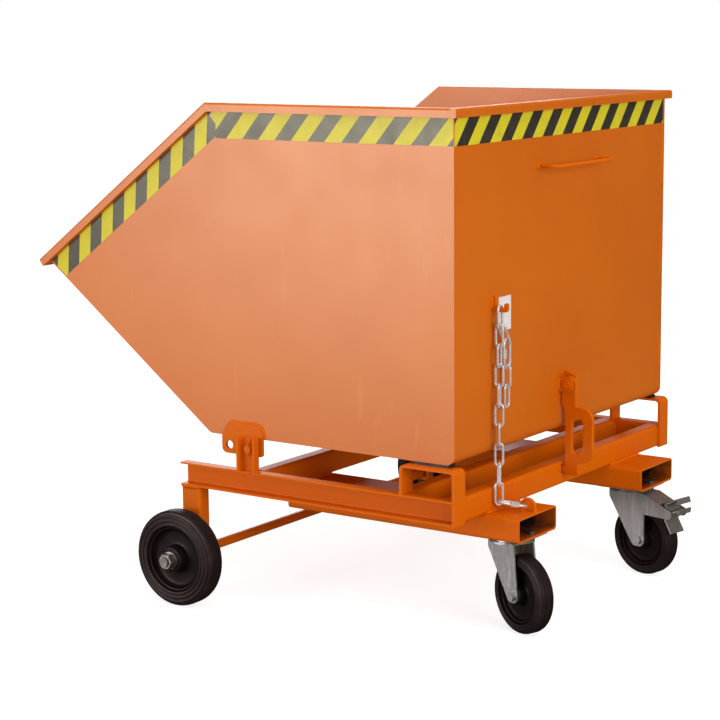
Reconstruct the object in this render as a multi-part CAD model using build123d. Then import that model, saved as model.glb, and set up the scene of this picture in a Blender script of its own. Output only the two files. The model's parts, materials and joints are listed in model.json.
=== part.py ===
from build123d import *
from math import cos, radians, sin, sqrt
import os

# Millimetres, +Z up, floor at z = 0.
# While building, x = 0 is the outer face of the skip's rear wall and the pouring lip points to -X.
# The whole trolley is moved along X at the end, so that the origin is under the middle of its box.

# Heights of the under-frame, from the floor up
castor_height = 197.0
tube_height = 50.0
beam_height = 50.0
skip_gap = 67.0
tube_top = castor_height + tube_height
beam_top = tube_top + beam_height
skip_bottom = beam_top + skip_gap

# Clearances
running_clearance = 0.05
rest_clearance = 0.3
swing_clearance = 1.0

# Skip
skip_width = 880.0
skip_height = 688.0
skip_bottom_length = 602.0
skip_top_length = 594.0
lip_reach = 1055.0
lip_height = 346.0
skip_sheet = 3.0
skip_bend = 20.0
side_face = skip_width / 2
skip_top = skip_bottom + skip_height

# Edge rims
rim_height = 18.0
rim_thickness = 12.0
rim_round = 5.0

# Push handle on the rear wall
handle_bar = 8.0
handle_width = 240.0
handle_stand_off = 45.0
handle_bend = 20.0
handle_height = 558.0

# Blank label plate on the rear wall
label_width = 47.0
label_height = 68.0
label_thickness = 1.0
label_y = -252.5
label_centre_height = 276.0

# Tipping pivot, its plates, posts and pins
pivot_back = 490.0
pivot_drop = 19.0
pivot_pin = 16.0
pivot_head = 24.0
pivot_head_thickness = 5.0
pivot_past_web = 11.0
plate_thickness = 6.0
plate_front_reach = 77.5
plate_rear_reach = 28.0
plate_overlap = 29.0
plate_slant = 21.0
plate_below_pin = 17.0
plate_corner = 12.0
plate_shoulder = 18.0
free_hole = 18.0
free_hole_forward = 58.0
free_hole_above = 1.0
post_width = 46.0
post_depth = 22.0
post_wall = 4.0
post_above_pin = 24.0
pivot_z = skip_bottom - pivot_drop

# Split pins
split_pin_wire = 3.0
split_pin_eye = 4.0
split_pin_length = 26.0
split_pin_inset = 4.5

# Under-frame channels
channel_wall = 4.0
channel_bend = 7.0
beam_depth = 28.0
beam_face = 458.0
beam_front = 672.0
frame_rear = 5.0
member_depth = 30.0
front_member_back = 465.0
middle_member_back = 112.0
beam_web = beam_face - beam_depth

# Rest loops and pads at the rear corners
loop_bar = 6.0
loop_width = 40.0
loop_bend = 12.0
loop_length = 128.0
pad_thickness = 5.7
pad_length = 80.0
pad_width = 24.0

# Fork tubes
tube_width = 150.0
tube_wall = 4.0
tube_round = 8.0
tube_y = 261.0
tube_front = 480.0
tube_overhang = 83.0

# Front legs and axle
leg_width = 50.0
leg_depth = 30.0
leg_inset = 1.0
leg_below_axle = 20.0
axle_diameter = 20.0
axle_tip = 4.0
axle_nut_flats = 30.0
axle_nut_height = 16.0
axle_washer = 37.0
axle_washer_thickness = 3.0
spacer_diameter = 30.0
leg_face = beam_face - leg_inset

# Front wheels
wheel_radius = 102.0
wheel_width = 50.0
wheel_seat = 70.0
wheel_shoulder = 15.0
wheel_hub = 27.0
wheel_hub_length = 60.0
wheel_middle = 497.0
bush_diameter = 30.0

# Castors
castor_x = 20.0
castor_trail = 45.0
castor_wheel_radius = 80.0
castor_wheel_width = 40.0
castor_seat = 60.0
castor_shoulder = 11.0
castor_hub = 19.0
castor_plate_length = 116.0
castor_plate_width = 110.0
castor_plate_thickness = 4.0
castor_plate_round = 10.0
castor_race = 70.0
castor_race_height = 8.0
castor_crown = 86.0
castor_sheet = 3.5
castor_inside = 48.0
castor_leg_front = 38.0
castor_leg_round = 15.0
castor_leg_tip = 13.5
castor_axle = 12.0
castor_axle_flats = 18.0
castor_axle_head = 8.0
castor_axle_nut = 10.0
kingpin = 12.0
kingpin_head = 26.0
kingpin_head_height = 8.0
castor_bolt = 10.0
castor_bolt_flats = 17.0
castor_bolt_head = 6.4
castor_nut_height = 7.0
castor_bolt_spacing = 94.0
left_swivel = -22.0
right_swivel = -12.0

# Wheel rims
rim_ring = 6.0
rim_web = 10.0
rim_step = 6.0
rim_edge = 1.0
groove_width = 2.0
groove_depth = 1.5

# Brake on the right castor
brake_pin = 8.0
brake_reach = 125.0
brake_above_axle = 69.0
brake_arm_round = 10.0
brake_hood_reach = 100.0
brake_hub = 16.0
brake_sheet = 4.0
brake_width = 44.0

# The brake's bent sheets, as points behind and above its pin
brake_tread = [(0.0, 0.0), (-11.0, 21.0), (20.0, 36.0), (23.0, 27.0)]
brake_step = [(0.0, 0.0), (24.0, 12.0), (23.0, 4.0)]
brake_shoe = [(0.0, 0.0), (-10.7, -14.6), (5.5, -41.0)]

# Catch lever on the rear wall
catch_pin = 12.0
catch_pin_out = 20.0
catch_pin_height = 99.0
catch_head = 18.0
catch_head_thickness = 4.0
catch_pin_tail = 11.0
lever_y = -20.0
lever_thickness = 10.0
lever_head = 16.0
lever_head_round = 15.7
lever_head_length = 44.0
lever_shank_gap = 8.0
lever_shank_step = 9.0
lever_length = 194.0
lever_foot = 29.0
lever_loop_reach = 76.0
lever_loop_top = 48.0
lever_loop_bottom = 167.0
lever_loop_round = 28.0
lever_corner = 4.5
hand_slot_width = 28.0
hand_slot_length = 82.0
hand_slot_inset = 14.0
hand_slot_drop = 109.0
nose_length = 6.5
nose_height = 10.0
nose_drop = 182.0
nose_clearance = 3.0
lug_thickness = 6.0
lug_gap = 2.0
lug_reach = 32.0
lug_height = 30.0
lug_round = 8.0
tall_lug_extra = 14.0

# Safety chain, its hook, quick link and eye
chain_wire = 5.0
chain_pitch = 40.0
chain_inside = 10.6
chain_count = 9
chain_spare = 2
chain_x = 17.0
spare_splay = 32.0
hook_y = -298.0
hook_bar = 8.0
hook_width = 7.0
hook_reach = 36.0
hook_tip = 10.0
hook_back = 22.0
hook_bend = 7.0
eye_bar = 8.0
eye_span = 28.0
eye_stem = 10.0
link_wire = 6.0
link_half_length = 29.0
link_half_width = 11.0
link_heading = 50.6
link_dip = 12.0
link_above_tube = 9.0
link_nut_flats = 10.0
link_nut_length = 18.0


def plate_along_y(points, y_low, y_high, radii=None):
    """Plate with an outline in X and Z, between two Y values; one radius for each corner."""
    corners = [(x, y_low, z) for x, z in points]
    if radii is None:
        outline = Polyline(*corners, close=True)
    else:
        outline = FilletPolyline(*corners, radius=radii, close=True)
    return extrude(make_face(outline), amount=y_high - y_low, dir=(0, 1, 0))


def rod(diameter, start, end):
    """Round bar between two points."""
    line = Line(start, end)
    return extrude(Plane(origin=start, z_dir=line % 0) * Circle(diameter / 2), amount=line.length)


def hexagon_along_y(flats, y_low, y_high, x, z):
    """Hexagonal prism along Y."""
    section = Plane(origin=(x, y_low, z), x_dir=(1, 0, 0), z_dir=(0, 1, 0))
    hexagon = RegularPolygon(flats / 2, 6, major_radius=False)
    return extrude(section * hexagon, amount=y_high - y_low)


def hexagon_along_z(flats, z_low, z_high, x, y):
    """Hexagonal prism along Z."""
    hexagon = RegularPolygon(flats / 2, 6, major_radius=False)
    return extrude(Plane.XY.offset(z_low) * Pos(x, y) * hexagon, amount=z_high - z_low)


def channel(origin, flange_direction, run_direction, run, height, depth, wall=channel_wall):
    """U section of a given height, with its web at the origin and its flanges along one direction."""
    bend = channel_bend
    inner_bend = bend - wall
    points = [
        (0, 0),
        (depth, 0),
        (depth, wall),
        (wall, wall),
        (wall, height - wall),
        (depth, height - wall),
        (depth, height),
        (0, height),
    ]
    radii = [bend, 0, 0, inner_bend, inner_bend, 0, 0, bend]
    section = make_face(FilletPolyline(*points, radius=radii, close=True))
    return extrude(Plane(origin=origin, x_dir=flange_direction, z_dir=run_direction) * section, amount=run)


def revolved_along_y(points, radii=None):
    """Solid of revolution about Y, from an outline of (radius, y) points."""
    if radii is None:
        outline = Polyline(*points, close=True)
    else:
        outline = FilletPolyline(*points, radius=radii, close=True)
    return revolve(make_face(outline), axis=Axis.Y)


def mirrored(shape):
    """The same piece on the other side of the trolley."""
    return mirror(shape, about=Plane.XZ)


nodes = {}

# Skip: side outline, from the rear top corner round by the bottom to the lip
rear_top = (0.0, skip_top)
rear_bottom = (0.0, skip_bottom)
front_bottom = (-skip_bottom_length, skip_bottom)
lip = (-lip_reach, skip_bottom + lip_height)
front_top = (-skip_top_length, skip_top)
side_outline = [rear_top, rear_bottom, front_bottom, lip, front_top]
side_bends = [0, skip_bend, skip_bend, 0, 0]

# Unit vectors: up the sloped panel, and up the slanted top edge
slope_length = sqrt((lip_reach - skip_bottom_length) ** 2 + lip_height**2)
slope = (-(lip_reach - skip_bottom_length) / slope_length, lip_height / slope_length)
edge_length = sqrt((lip_reach - skip_top_length) ** 2 + (skip_height - lip_height) ** 2)
edge = ((lip_reach - skip_top_length) / edge_length, (skip_height - lip_height) / edge_length)
edge_down = (edge[1], -edge[0])


def skip_shell():
    """Rear wall, bottom and sloped panel, one bent sheet between the side sheets."""
    half = side_face - skip_sheet
    whole = plate_along_y(side_outline, -half, half, side_bends)
    inward = (slope[1], -slope[0])
    past_lip = slope_length + skip_height
    corner_x = -skip_bottom_length + skip_sheet * (1 - inward[1]) / inward[0]
    corner = (corner_x, skip_bottom + skip_sheet)
    far = (corner[0] + slope[0] * past_lip, corner[1] + slope[1] * past_lip)
    above = skip_top + past_lip
    hollow_outline = [(-skip_sheet, above), (-skip_sheet, corner[1]), corner, far, (far[0], above)]
    inner_bend = skip_bend - skip_sheet
    hollow = plate_along_y(hollow_outline, -half, half, [0, inner_bend, inner_bend, 0, 0])
    return whole - hollow


def rim_section():
    """Rim bar: outwards along local X, downwards along local Y, outer top corner rounded."""
    points = [(0, 0), (rim_thickness, 0), (rim_thickness, rim_height), (0, rim_height)]
    return make_face(FilletPolyline(*points, radius=[0, rim_round, 0, 0], close=True))


def side_rim():
    """Left rim: level along the top, then down the slanted edge to the nose of the lip rim."""
    nose = (lip[0] - rim_thickness * edge[0], lip[1] - rim_thickness * edge[1])
    path = Polyline(
        (nose[0], -side_face, nose[1]),
        (front_top[0], -side_face, skip_top),
        (0, -side_face, skip_top),
    )
    start = Plane(origin=path @ 0, x_dir=(0, -1, 0), z_dir=path % 0)
    return sweep(start * rim_section(), path=path, transition=Transition.RIGHT)


def lip_rim():
    """Bar along the pouring lip, under the sloped panel's edge."""
    along_panel = rim_height / (slope[0] * -edge_down[0] + slope[1] * -edge_down[1])
    nose = (lip[0] - rim_thickness * edge[0], lip[1] - rim_thickness * edge[1])
    under = (nose[0] + rim_height * edge_down[0], nose[1] + rim_height * edge_down[1])
    seat = (lip[0] - along_panel * slope[0], lip[1] - along_panel * slope[1])
    return plate_along_y([lip, nose, under, seat], -side_face, side_face, [0, rim_round, 0, 0])


side_sheet = plate_along_y(side_outline, -side_face, skip_sheet - side_face, side_bends)
rear_rim_end = side_face + rim_thickness
rear_rim_plane = Plane(origin=(0, rear_rim_end, skip_top), x_dir=(1, 0, 0), z_dir=(0, -1, 0))
rear_rim_section = mirror(rim_section(), about=Plane.XZ)
nodes["skip_shell"] = [skip_shell()]
nodes["skip_side_left"] = [side_sheet]
nodes["skip_side_right"] = [mirrored(side_sheet)]
nodes["rim_left"] = [side_rim()]
nodes["rim_right"] = [mirrored(side_rim())]
nodes["rim_rear"] = [extrude(rear_rim_plane * rear_rim_section, amount=2 * rear_rim_end)]
nodes["rim_lip"] = [lip_rim()]


def push_handle():
    """Round bar bent to a U, its ends welded to the rear wall."""
    z = skip_bottom + handle_height
    half = handle_width / 2
    path = FilletPolyline(
        (0, -half, z),
        (handle_stand_off, -half, z),
        (handle_stand_off, half, z),
        (0, half, z),
        radius=handle_bend,
    )
    return sweep(Plane(origin=path @ 0, z_dir=path % 0) * Circle(handle_bar / 2), path=path)


def blank_label():
    """Bare plate on the rear wall."""
    z = skip_bottom + label_centre_height
    return Pos(label_thickness / 2, label_y, z) * Box(label_thickness, label_width, label_height)


nodes["push_handle"] = [push_handle()]
nodes["blank_label"] = [blank_label()]

# Tipping pivot
plate_outer = side_face + plate_thickness
post_web = plate_outer + swing_clearance
post_outer = post_web + post_depth
pin_tip = post_web + post_wall + pivot_past_web
split_y = pin_tip - split_pin_inset


def trunnion_plate():
    """Plate on the side wall that hangs below the bottom and carries the pivot pin."""
    front = -pivot_back - plate_front_reach
    rear = -pivot_back + plate_rear_reach
    low = pivot_z - plate_below_pin
    high = skip_bottom + plate_overlap
    outline = [
        (front, skip_bottom),
        (front, low),
        (rear, low),
        (rear, skip_bottom),
        (rear, high),
        (front + plate_slant, high),
    ]
    radii = [0, plate_corner, plate_corner / 2, 0, plate_shoulder, plate_corner / 2]
    plate = plate_along_y(outline, -plate_outer, -side_face, radii)
    pin_hole = rod(pivot_pin, (-pivot_back, -plate_outer, pivot_z), (-pivot_back, -side_face, pivot_z))
    hole_x = -pivot_back - free_hole_forward
    hole_z = pivot_z + free_hole_above
    hole = rod(free_hole, (hole_x, -plate_outer, hole_z), (hole_x, -side_face, hole_z))
    return plate - pin_hole - hole


def pivot_pin_left():
    """Headed pin, fixed in the trunnion plate, that turns in the post."""
    tip = (-pivot_back, -pin_tip, pivot_z)
    shoulder = (-pivot_back, -side_face, pivot_z)
    inner = (-pivot_back, pivot_head_thickness - side_face, pivot_z)
    hole_low = (-pivot_back, -split_y, pivot_z - pivot_pin)
    hole_high = (-pivot_back, -split_y, pivot_z + pivot_pin)
    cross_hole = rod(split_pin_wire, hole_low, hole_high)
    return rod(pivot_pin, tip, shoulder) + rod(pivot_head, shoulder, inner) - cross_hole


def split_pin(through, x, y, z):
    """Upright split pin through the end of a pin: a straight shank with an eye on top."""
    above = through / 2 + split_pin_wire
    shank = rod(split_pin_wire, (0, 0, above), (0, 0, above - split_pin_length))
    eye = Pos(0, 0, above + split_pin_eye) * Rot(90, 0, 0) * Torus(split_pin_eye, split_pin_wire / 2)
    return Pos(x, y, z) * (shank + eye)


def pivot_post():
    """Upright channel on the side beam, open outwards, with the pin's hole in its web."""
    rear = -pivot_back - post_width / 2
    run = pivot_z + post_above_pin - beam_top
    post = channel((rear, -post_web, beam_top), (0, -1, 0), (0, 0, 1), run, post_width, post_depth, post_wall)
    bore = pivot_pin + 2 * running_clearance
    return post - rod(bore, (-pivot_back, -post_outer, pivot_z), (-pivot_back, -side_face, pivot_z))


pivot_split = split_pin(pivot_pin, -pivot_back, -split_y, pivot_z)
nodes["trunnion_plate_left"] = [trunnion_plate()]
nodes["trunnion_plate_right"] = [mirrored(trunnion_plate())]
nodes["pivot_pins"] = [pivot_pin_left(), mirrored(pivot_pin_left())]
nodes["pivot_split_pins"] = [pivot_split, mirrored(pivot_split)]
nodes["pivot_post_left"] = [pivot_post()]
nodes["pivot_post_right"] = [mirrored(pivot_post())]

# Catch lever, its lugs and pin
catch_z = skip_bottom + catch_pin_height
lever_low_y = lever_y - lever_thickness / 2
lever_high_y = lever_y + lever_thickness / 2
shank_x = frame_rear + lever_shank_gap
nose_z = catch_z - nose_drop


def catch_lever():
    """Flat lever hanging from its pin, with a hand slot and a nose for the rear member's slot."""
    head_front = catch_pin_out - lever_head
    head_rear = catch_pin_out + lever_head
    step_z = catch_z - lever_head_length
    foot_z = catch_z - lever_length
    foot_x = shank_x + lever_foot
    nose_x = shank_x - nose_length
    loop_top = catch_z - lever_loop_top
    loop_bottom = catch_z - lever_loop_bottom
    outline = [
        (head_front, catch_z + lever_head),
        (head_front, step_z),
        (shank_x, step_z - lever_shank_step),
        (shank_x, nose_z + nose_height),
        (nose_x, nose_z + nose_height / 2),
        (nose_x, nose_z - nose_height / 2),
        (shank_x, nose_z - nose_height / 2),
        (shank_x, foot_z),
        (foot_x, foot_z),
        (foot_x, loop_bottom),
        (lever_loop_reach, loop_bottom),
        (lever_loop_reach, loop_top),
        (head_rear, loop_top),
        (head_rear, catch_z + lever_head),
    ]
    front_radii = [lever_head_round, lever_corner, lever_corner, 0, 0, 0, 0, 0]
    loop_radii = [lever_corner, lever_corner, lever_loop_round, lever_loop_round, lever_corner]
    radii = front_radii + loop_radii + [lever_head_round]
    lever = plate_along_y(outline, lever_low_y, lever_high_y, radii)
    slot_x = shank_x + hand_slot_inset + hand_slot_width / 2
    slot_start = (slot_x, lever_low_y, catch_z - hand_slot_drop)
    slot_plane = Plane(origin=slot_start, x_dir=(0, 0, 1), z_dir=(0, 1, 0))
    slot = extrude(slot_plane * SlotOverall(hand_slot_length, hand_slot_width), amount=lever_thickness)
    bore_start = (catch_pin_out, lever_low_y, catch_z)
    bore_end = (catch_pin_out, lever_high_y, catch_z)
    return lever - slot - rod(catch_pin + 2 * running_clearance, bore_start, bore_end)


def catch_lug(y_low, extra):
    """Lug welded on the rear wall beside the lever, with the pin's hole."""
    low = catch_z - lug_height / 2
    high = catch_z + lug_height / 2
    outline = [(0, low), (lug_reach, low), (lug_reach, high), (0, high + extra)]
    lug = plate_along_y(outline, y_low, y_low + lug_thickness, [0, lug_round, lug_round, 0])
    y_high = y_low + lug_thickness
    return lug - rod(catch_pin, (catch_pin_out, y_low, catch_z), (catch_pin_out, y_high, catch_z))


left_lug_y = lever_low_y - lug_gap - lug_thickness
right_lug_y = lever_high_y + lug_gap
catch_tip_y = right_lug_y + lug_thickness + catch_pin_tail
catch_split_y = catch_tip_y - split_pin_inset


def catch_pin_piece():
    """Headed pin through both lugs and the lever."""
    shoulder = (catch_pin_out, left_lug_y, catch_z)
    head = (catch_pin_out, left_lug_y - catch_head_thickness, catch_z)
    low = (catch_pin_out, catch_split_y, catch_z - catch_pin)
    high = (catch_pin_out, catch_split_y, catch_z + catch_pin)
    shank = rod(catch_pin, shoulder, (catch_pin_out, catch_tip_y, catch_z))
    return shank + rod(catch_head, head, shoulder) - rod(split_pin_wire, low, high)


nodes["catch_lever"] = [catch_lever()]
nodes["catch_lugs"] = [catch_lug(left_lug_y, 0), catch_lug(right_lug_y, tall_lug_extra)]
nodes["catch_pin"] = [catch_pin_piece()]
nodes["catch_split_pin"] = [split_pin(catch_pin, catch_pin_out, catch_split_y, catch_z)]

# Frame channels
beam_run = beam_front + frame_rear


def side_beam():
    """Left beam, flanges outwards."""
    start = (frame_rear, -beam_web, tube_top)
    return channel(start, (0, -1, 0), (-1, 0, 0), beam_run, beam_height, beam_depth)


def cross_member(rear_face):
    """Cross channel between the beams' webs, flanges forwards."""
    start = (rear_face, -beam_web, tube_top)
    return channel(start, (-1, 0, 0), (0, 1, 0), 2 * beam_web, beam_height, member_depth)


def rear_member():
    """Rear cross channel with the keeper slot for the lever's nose."""
    slot_width = lever_thickness + 2 * nose_clearance
    slot_height = nose_height * 1.5 + 2 * nose_clearance
    slot = Pos(frame_rear, lever_y, nose_z) * Box(4 * channel_wall, slot_width, slot_height)
    return cross_member(frame_rear) - slot


def rest_loop():
    """Bent flat bar: front foot on the beam, top bar under the skip, rear leg closing the beam's end."""
    rear = frame_rear + loop_bar
    front = rear - loop_length
    top = skip_bottom - rest_clearance - pad_thickness
    under = top - loop_bar
    outline = [
        (front, beam_top),
        (front, top),
        (rear, top),
        (rear, tube_top),
        (frame_rear, tube_top),
        (frame_rear, under),
        (front + loop_bar, under),
        (front + loop_bar, beam_top),
    ]
    inner = loop_bend - loop_bar
    radii = [0, loop_bend, loop_bend, 0, 0, inner, inner, 0]
    return plate_along_y(outline, -beam_face, loop_width - beam_face, radii)


def rest_pad():
    """Rubber pad on the rest loop."""
    middle = frame_rear + loop_bar - loop_length / 2
    z = skip_bottom - rest_clearance - pad_thickness
    outer = -side_face
    outline = [
        (middle - pad_length / 2, z),
        (middle + pad_length / 2, z),
        (middle + pad_length / 2, z + pad_thickness),
        (middle - pad_length / 2, z + pad_thickness),
    ]
    return plate_along_y(outline, outer, outer + pad_width)


def fork_tube():
    """Rectangular tube, open at both ends, that takes a lift-truck's fork."""
    start = (-tube_front, -tube_y, castor_height + tube_height / 2)
    middle = Plane(origin=start, x_dir=(0, 1, 0), z_dir=(1, 0, 0))
    outside = RectangleRounded(tube_width, tube_height, tube_round)
    inside = RectangleRounded(tube_width - 2 * tube_wall, tube_height - 2 * tube_wall, tube_round - tube_wall)
    tube = extrude(middle * (outside - inside), amount=tube_front + tube_overhang)
    for x, y in castor_bolt_places(-tube_y):
        tube -= rod(castor_bolt, (x, y, castor_height), (x, y, castor_height + tube_wall))
    return tube


def castor_bolt_places(y_middle):
    """Two bolt centres, before and behind the kingpin on the tube's centre line."""
    return [(castor_x + side * castor_bolt_spacing / 2, y_middle) for side in (-1, 1)]


axle_x = leg_width / 2 - beam_front
axle_z = wheel_radius


def front_leg():
    """Upright channel under the beam's front end, web outwards, drilled for the axle."""
    low = axle_z - leg_below_axle
    start = (-beam_front, -leg_face, tube_top)
    leg = channel(start, (0, 1, 0), (0, 0, -1), tube_top - low, leg_width, leg_depth)
    return leg - rod(axle_diameter, (axle_x, -leg_face, axle_z), (axle_x, leg_depth - leg_face, axle_z))


nodes["side_beam_left"] = [side_beam()]
nodes["side_beam_right"] = [mirrored(side_beam())]
nodes["front_cross_member"] = [cross_member(-front_member_back)]
nodes["middle_cross_member"] = [cross_member(-middle_member_back)]
nodes["rear_cross_member"] = [rear_member()]
nodes["rest_loop_left"] = [rest_loop()]
nodes["rest_loop_right"] = [mirrored(rest_loop())]
nodes["rest_pads"] = [rest_pad(), mirrored(rest_pad())]
nodes["fork_tube_left"] = [fork_tube()]
nodes["fork_tube_right"] = [mirrored(fork_tube())]
nodes["front_leg_left"] = [front_leg()]
nodes["front_leg_right"] = [mirrored(front_leg())]

# Front axle: spacer, wheel, washer and nut, outwards from the leg
hub_inner = wheel_middle - wheel_hub_length / 2
hub_outer = wheel_middle + wheel_hub_length / 2
washer_y = hub_outer + rest_clearance
nut_y = washer_y + axle_washer_thickness
axle_end = nut_y + axle_nut_height + axle_tip


def ring_along_y(outside, inside, y_low, y_high, x, z):
    """Flat ring or sleeve along Y."""
    return rod(outside, (x, y_low, z), (x, y_high, z)) - rod(inside, (x, y_low, z), (x, y_high, z))


def axle_nut():
    """Nut on the left end of the axle."""
    nut = hexagon_along_y(axle_nut_flats, -nut_y - axle_nut_height, -nut_y, axle_x, axle_z)
    return nut - rod(axle_diameter, (axle_x, -axle_end, axle_z), (axle_x, -nut_y, axle_z))


spacer = ring_along_y(spacer_diameter, axle_diameter, rest_clearance - hub_inner, -leg_face, axle_x, axle_z)
washer = ring_along_y(axle_washer, axle_diameter, -nut_y, -washer_y, axle_x, axle_z)
nodes["front_axle"] = [rod(axle_diameter, (axle_x, -axle_end, axle_z), (axle_x, axle_end, axle_z))]
nodes["axle_spacers"] = [spacer, mirrored(spacer)]
nodes["axle_washers"] = [washer, mirrored(washer)]
nodes["axle_nuts"] = [axle_nut(), mirrored(axle_nut())]


def tyre(radius, width, seat, shoulder):
    """Solid rubber tyre with rounded shoulders and a groove near each edge of the tread."""
    half = width / 2
    points = [(seat, -half), (radius, -half), (radius, half), (seat, half)]
    body = revolved_along_y(points, [0, shoulder, shoulder, 0])
    groove_y = half - shoulder - groove_width
    floor = radius - groove_depth
    past = radius + groove_depth
    for side in (-1, 1):
        low = side * groove_y - groove_width / 2
        high = side * groove_y + groove_width / 2
        body -= revolved_along_y([(floor, low), (past, low), (past, high), (floor, high)])
    return body


def wheel_rim(seat, width, hub, hub_length, bore):
    """Dished rim: hub, web and outer ring in one piece."""
    half = hub_length / 2
    ring = seat - rim_ring
    face = width / 2 - rim_step
    web = rim_web / 2
    points = [
        (bore, -half),
        (hub, -half),
        (hub, -web),
        (ring, -web),
        (ring, -face),
        (seat, -face),
        (seat, face),
        (ring, face),
        (ring, web),
        (hub, web),
        (hub, half),
        (bore, half),
    ]
    soft = rim_step / 2
    half_radii = [0, rim_edge, soft, soft, rim_edge, 0]
    return revolved_along_y(points, half_radii + half_radii[::-1])


half_hub = wheel_hub_length / 2
bush_bore = axle_diameter + 2 * running_clearance
bush = ring_along_y(bush_diameter, bush_bore, -half_hub, half_hub, 0, 0)
front_tyre = tyre(wheel_radius, wheel_width, wheel_seat, wheel_shoulder)
front_rim = wheel_rim(wheel_seat, wheel_width, wheel_hub, wheel_hub_length, bush_diameter / 2)
for side, sign in (("left", -1), ("right", 1)):
    place = Pos(axle_x, sign * wheel_middle, axle_z)
    nodes["front_tyre_" + side] = [place * front_tyre]
    nodes["front_rim_" + side] = [place * front_rim]
    nodes["front_bush_" + side] = [place * bush]

# Castors, built about the kingpin with the wheel trailing along +X, then swivelled and placed
plate_low = castor_height - castor_plate_thickness
race_low = plate_low - castor_race_height
crown_top = race_low - rest_clearance
crown_low = crown_top - castor_sheet
castor_axle_z = castor_wheel_radius
fork_inner = castor_inside / 2
fork_outer = fork_inner + castor_sheet
brake_pin_z = castor_axle_z + brake_above_axle


def castor_plate(y_middle):
    """Bolted top plate with the ball race housing under it."""
    base = RectangleRounded(castor_plate_length, castor_plate_width, castor_plate_round)
    place = Plane.XY.offset(plate_low) * Pos(castor_x, y_middle)
    plate = extrude(place * base, amount=castor_plate_thickness)
    plate += rod(castor_race, (castor_x, y_middle, race_low), (castor_x, y_middle, plate_low))
    for x, y in castor_bolt_places(y_middle):
        plate -= rod(castor_bolt, (x, y, plate_low), (x, y, castor_height))
    return plate - rod(kingpin, (castor_x, y_middle, race_low), (castor_x, y_middle, castor_height))


def castor_kingpin(y_middle):
    """Pivot of the fork: its shank is fixed in the plate and its head holds the fork's crown up."""
    head_top = crown_low - rest_clearance
    shank = rod(kingpin, (castor_x, y_middle, head_top), (castor_x, y_middle, castor_height))
    head_low = head_top - kingpin_head_height
    head = rod(kingpin_head, (castor_x, y_middle, head_low), (castor_x, y_middle, head_top))
    return shank + head


def castor_bolts(y_middle):
    """Bolts with their heads inside the fork tube, and nuts under the plate."""
    pieces = []
    floor = castor_height + tube_wall
    nut_low = plate_low - castor_nut_height
    for x, y in castor_bolt_places(y_middle):
        head = hexagon_along_z(castor_bolt_flats, floor, floor + castor_bolt_head, x, y)
        pieces.append(head + rod(castor_bolt, (x, y, nut_low), (x, y, floor)))
        nut = hexagon_along_z(castor_bolt_flats, nut_low, plate_low, x, y)
        pieces.append(nut - rod(castor_bolt, (x, y, nut_low), (x, y, plate_low)))
    return pieces


def brake_pin_piece():
    """Pin through both brake arms."""
    start = (brake_reach, -fork_outer, brake_pin_z)
    return rod(brake_pin, start, (brake_reach, fork_outer, brake_pin_z))


def castor_fork(braked):
    """Pressed fork: crown under the race, two legs down to the axle; one fork has brake arms and a hood."""
    rear = castor_trail + castor_leg_round
    rear_top = rear if braked else castor_crown / 2
    low = castor_axle_z - castor_leg_round
    crown = rod(castor_crown, (0, 0, crown_low), (0, 0, crown_top))
    bridge_place = Pos((rear_top - castor_leg_front) / 2, 0, crown_top - castor_sheet / 2)
    fork = crown + bridge_place * Box(rear_top + castor_leg_front, 2 * fork_outer, castor_sheet)
    leg = [
        (-castor_leg_front, crown_top),
        (-castor_leg_front, crown_low - castor_leg_round),
        (castor_trail - castor_leg_round, low),
        (rear, low),
        (rear_top, crown_top),
    ]
    leg_radii = [0, castor_leg_round / 2, castor_leg_tip, castor_leg_tip, 0]
    arm_top = brake_pin_z + brake_arm_round
    arm_low = brake_pin_z - brake_arm_round
    arm = [
        (castor_trail, crown_top),
        (rear, crown_top),
        (brake_reach, arm_top),
        (brake_reach, arm_low),
        (castor_trail, arm_low),
    ]
    for y_low in (-fork_outer, fork_inner):
        y_high = y_low + castor_sheet
        fork += plate_along_y(leg, y_low, y_high, leg_radii)
        if braked:
            arm_end = (brake_reach, y_low, brake_pin_z)
            fork += plate_along_y(arm, y_low, y_high)
            fork += rod(2 * brake_arm_round, arm_end, (brake_reach, y_high, brake_pin_z))
    if braked:
        hood_z = crown_top + (arm_top - crown_top) * (brake_hood_reach - rear) / (brake_reach - rear)
        hood = [
            (castor_trail, crown_top),
            (rear, crown_top),
            (brake_hood_reach, hood_z),
            (brake_hood_reach, hood_z - castor_sheet),
            (rear, crown_low),
            (castor_trail, crown_low),
        ]
        fork += plate_along_y(hood, -fork_inner, fork_inner)
        fork -= brake_pin_piece()
    fork -= rod(kingpin + 2 * running_clearance, (0, 0, crown_low), (0, 0, crown_top))
    axle_start = (castor_trail, -fork_outer, castor_axle_z)
    return fork - rod(castor_axle, axle_start, (castor_trail, fork_outer, castor_axle_z))


def castor_axle_pieces():
    """Axle bolt through the fork and its nut."""
    shank_end = fork_outer + castor_axle_nut
    head_end = -fork_outer - castor_axle_head
    head = hexagon_along_y(castor_axle_flats, head_end, -fork_outer, castor_trail, castor_axle_z)
    shank_start = (castor_trail, -fork_outer, castor_axle_z)
    shank = rod(castor_axle, shank_start, (castor_trail, shank_end, castor_axle_z))
    nut = hexagon_along_y(castor_axle_flats, fork_outer, shank_end, castor_trail, castor_axle_z)
    return [head + shank, nut - shank]


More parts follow.
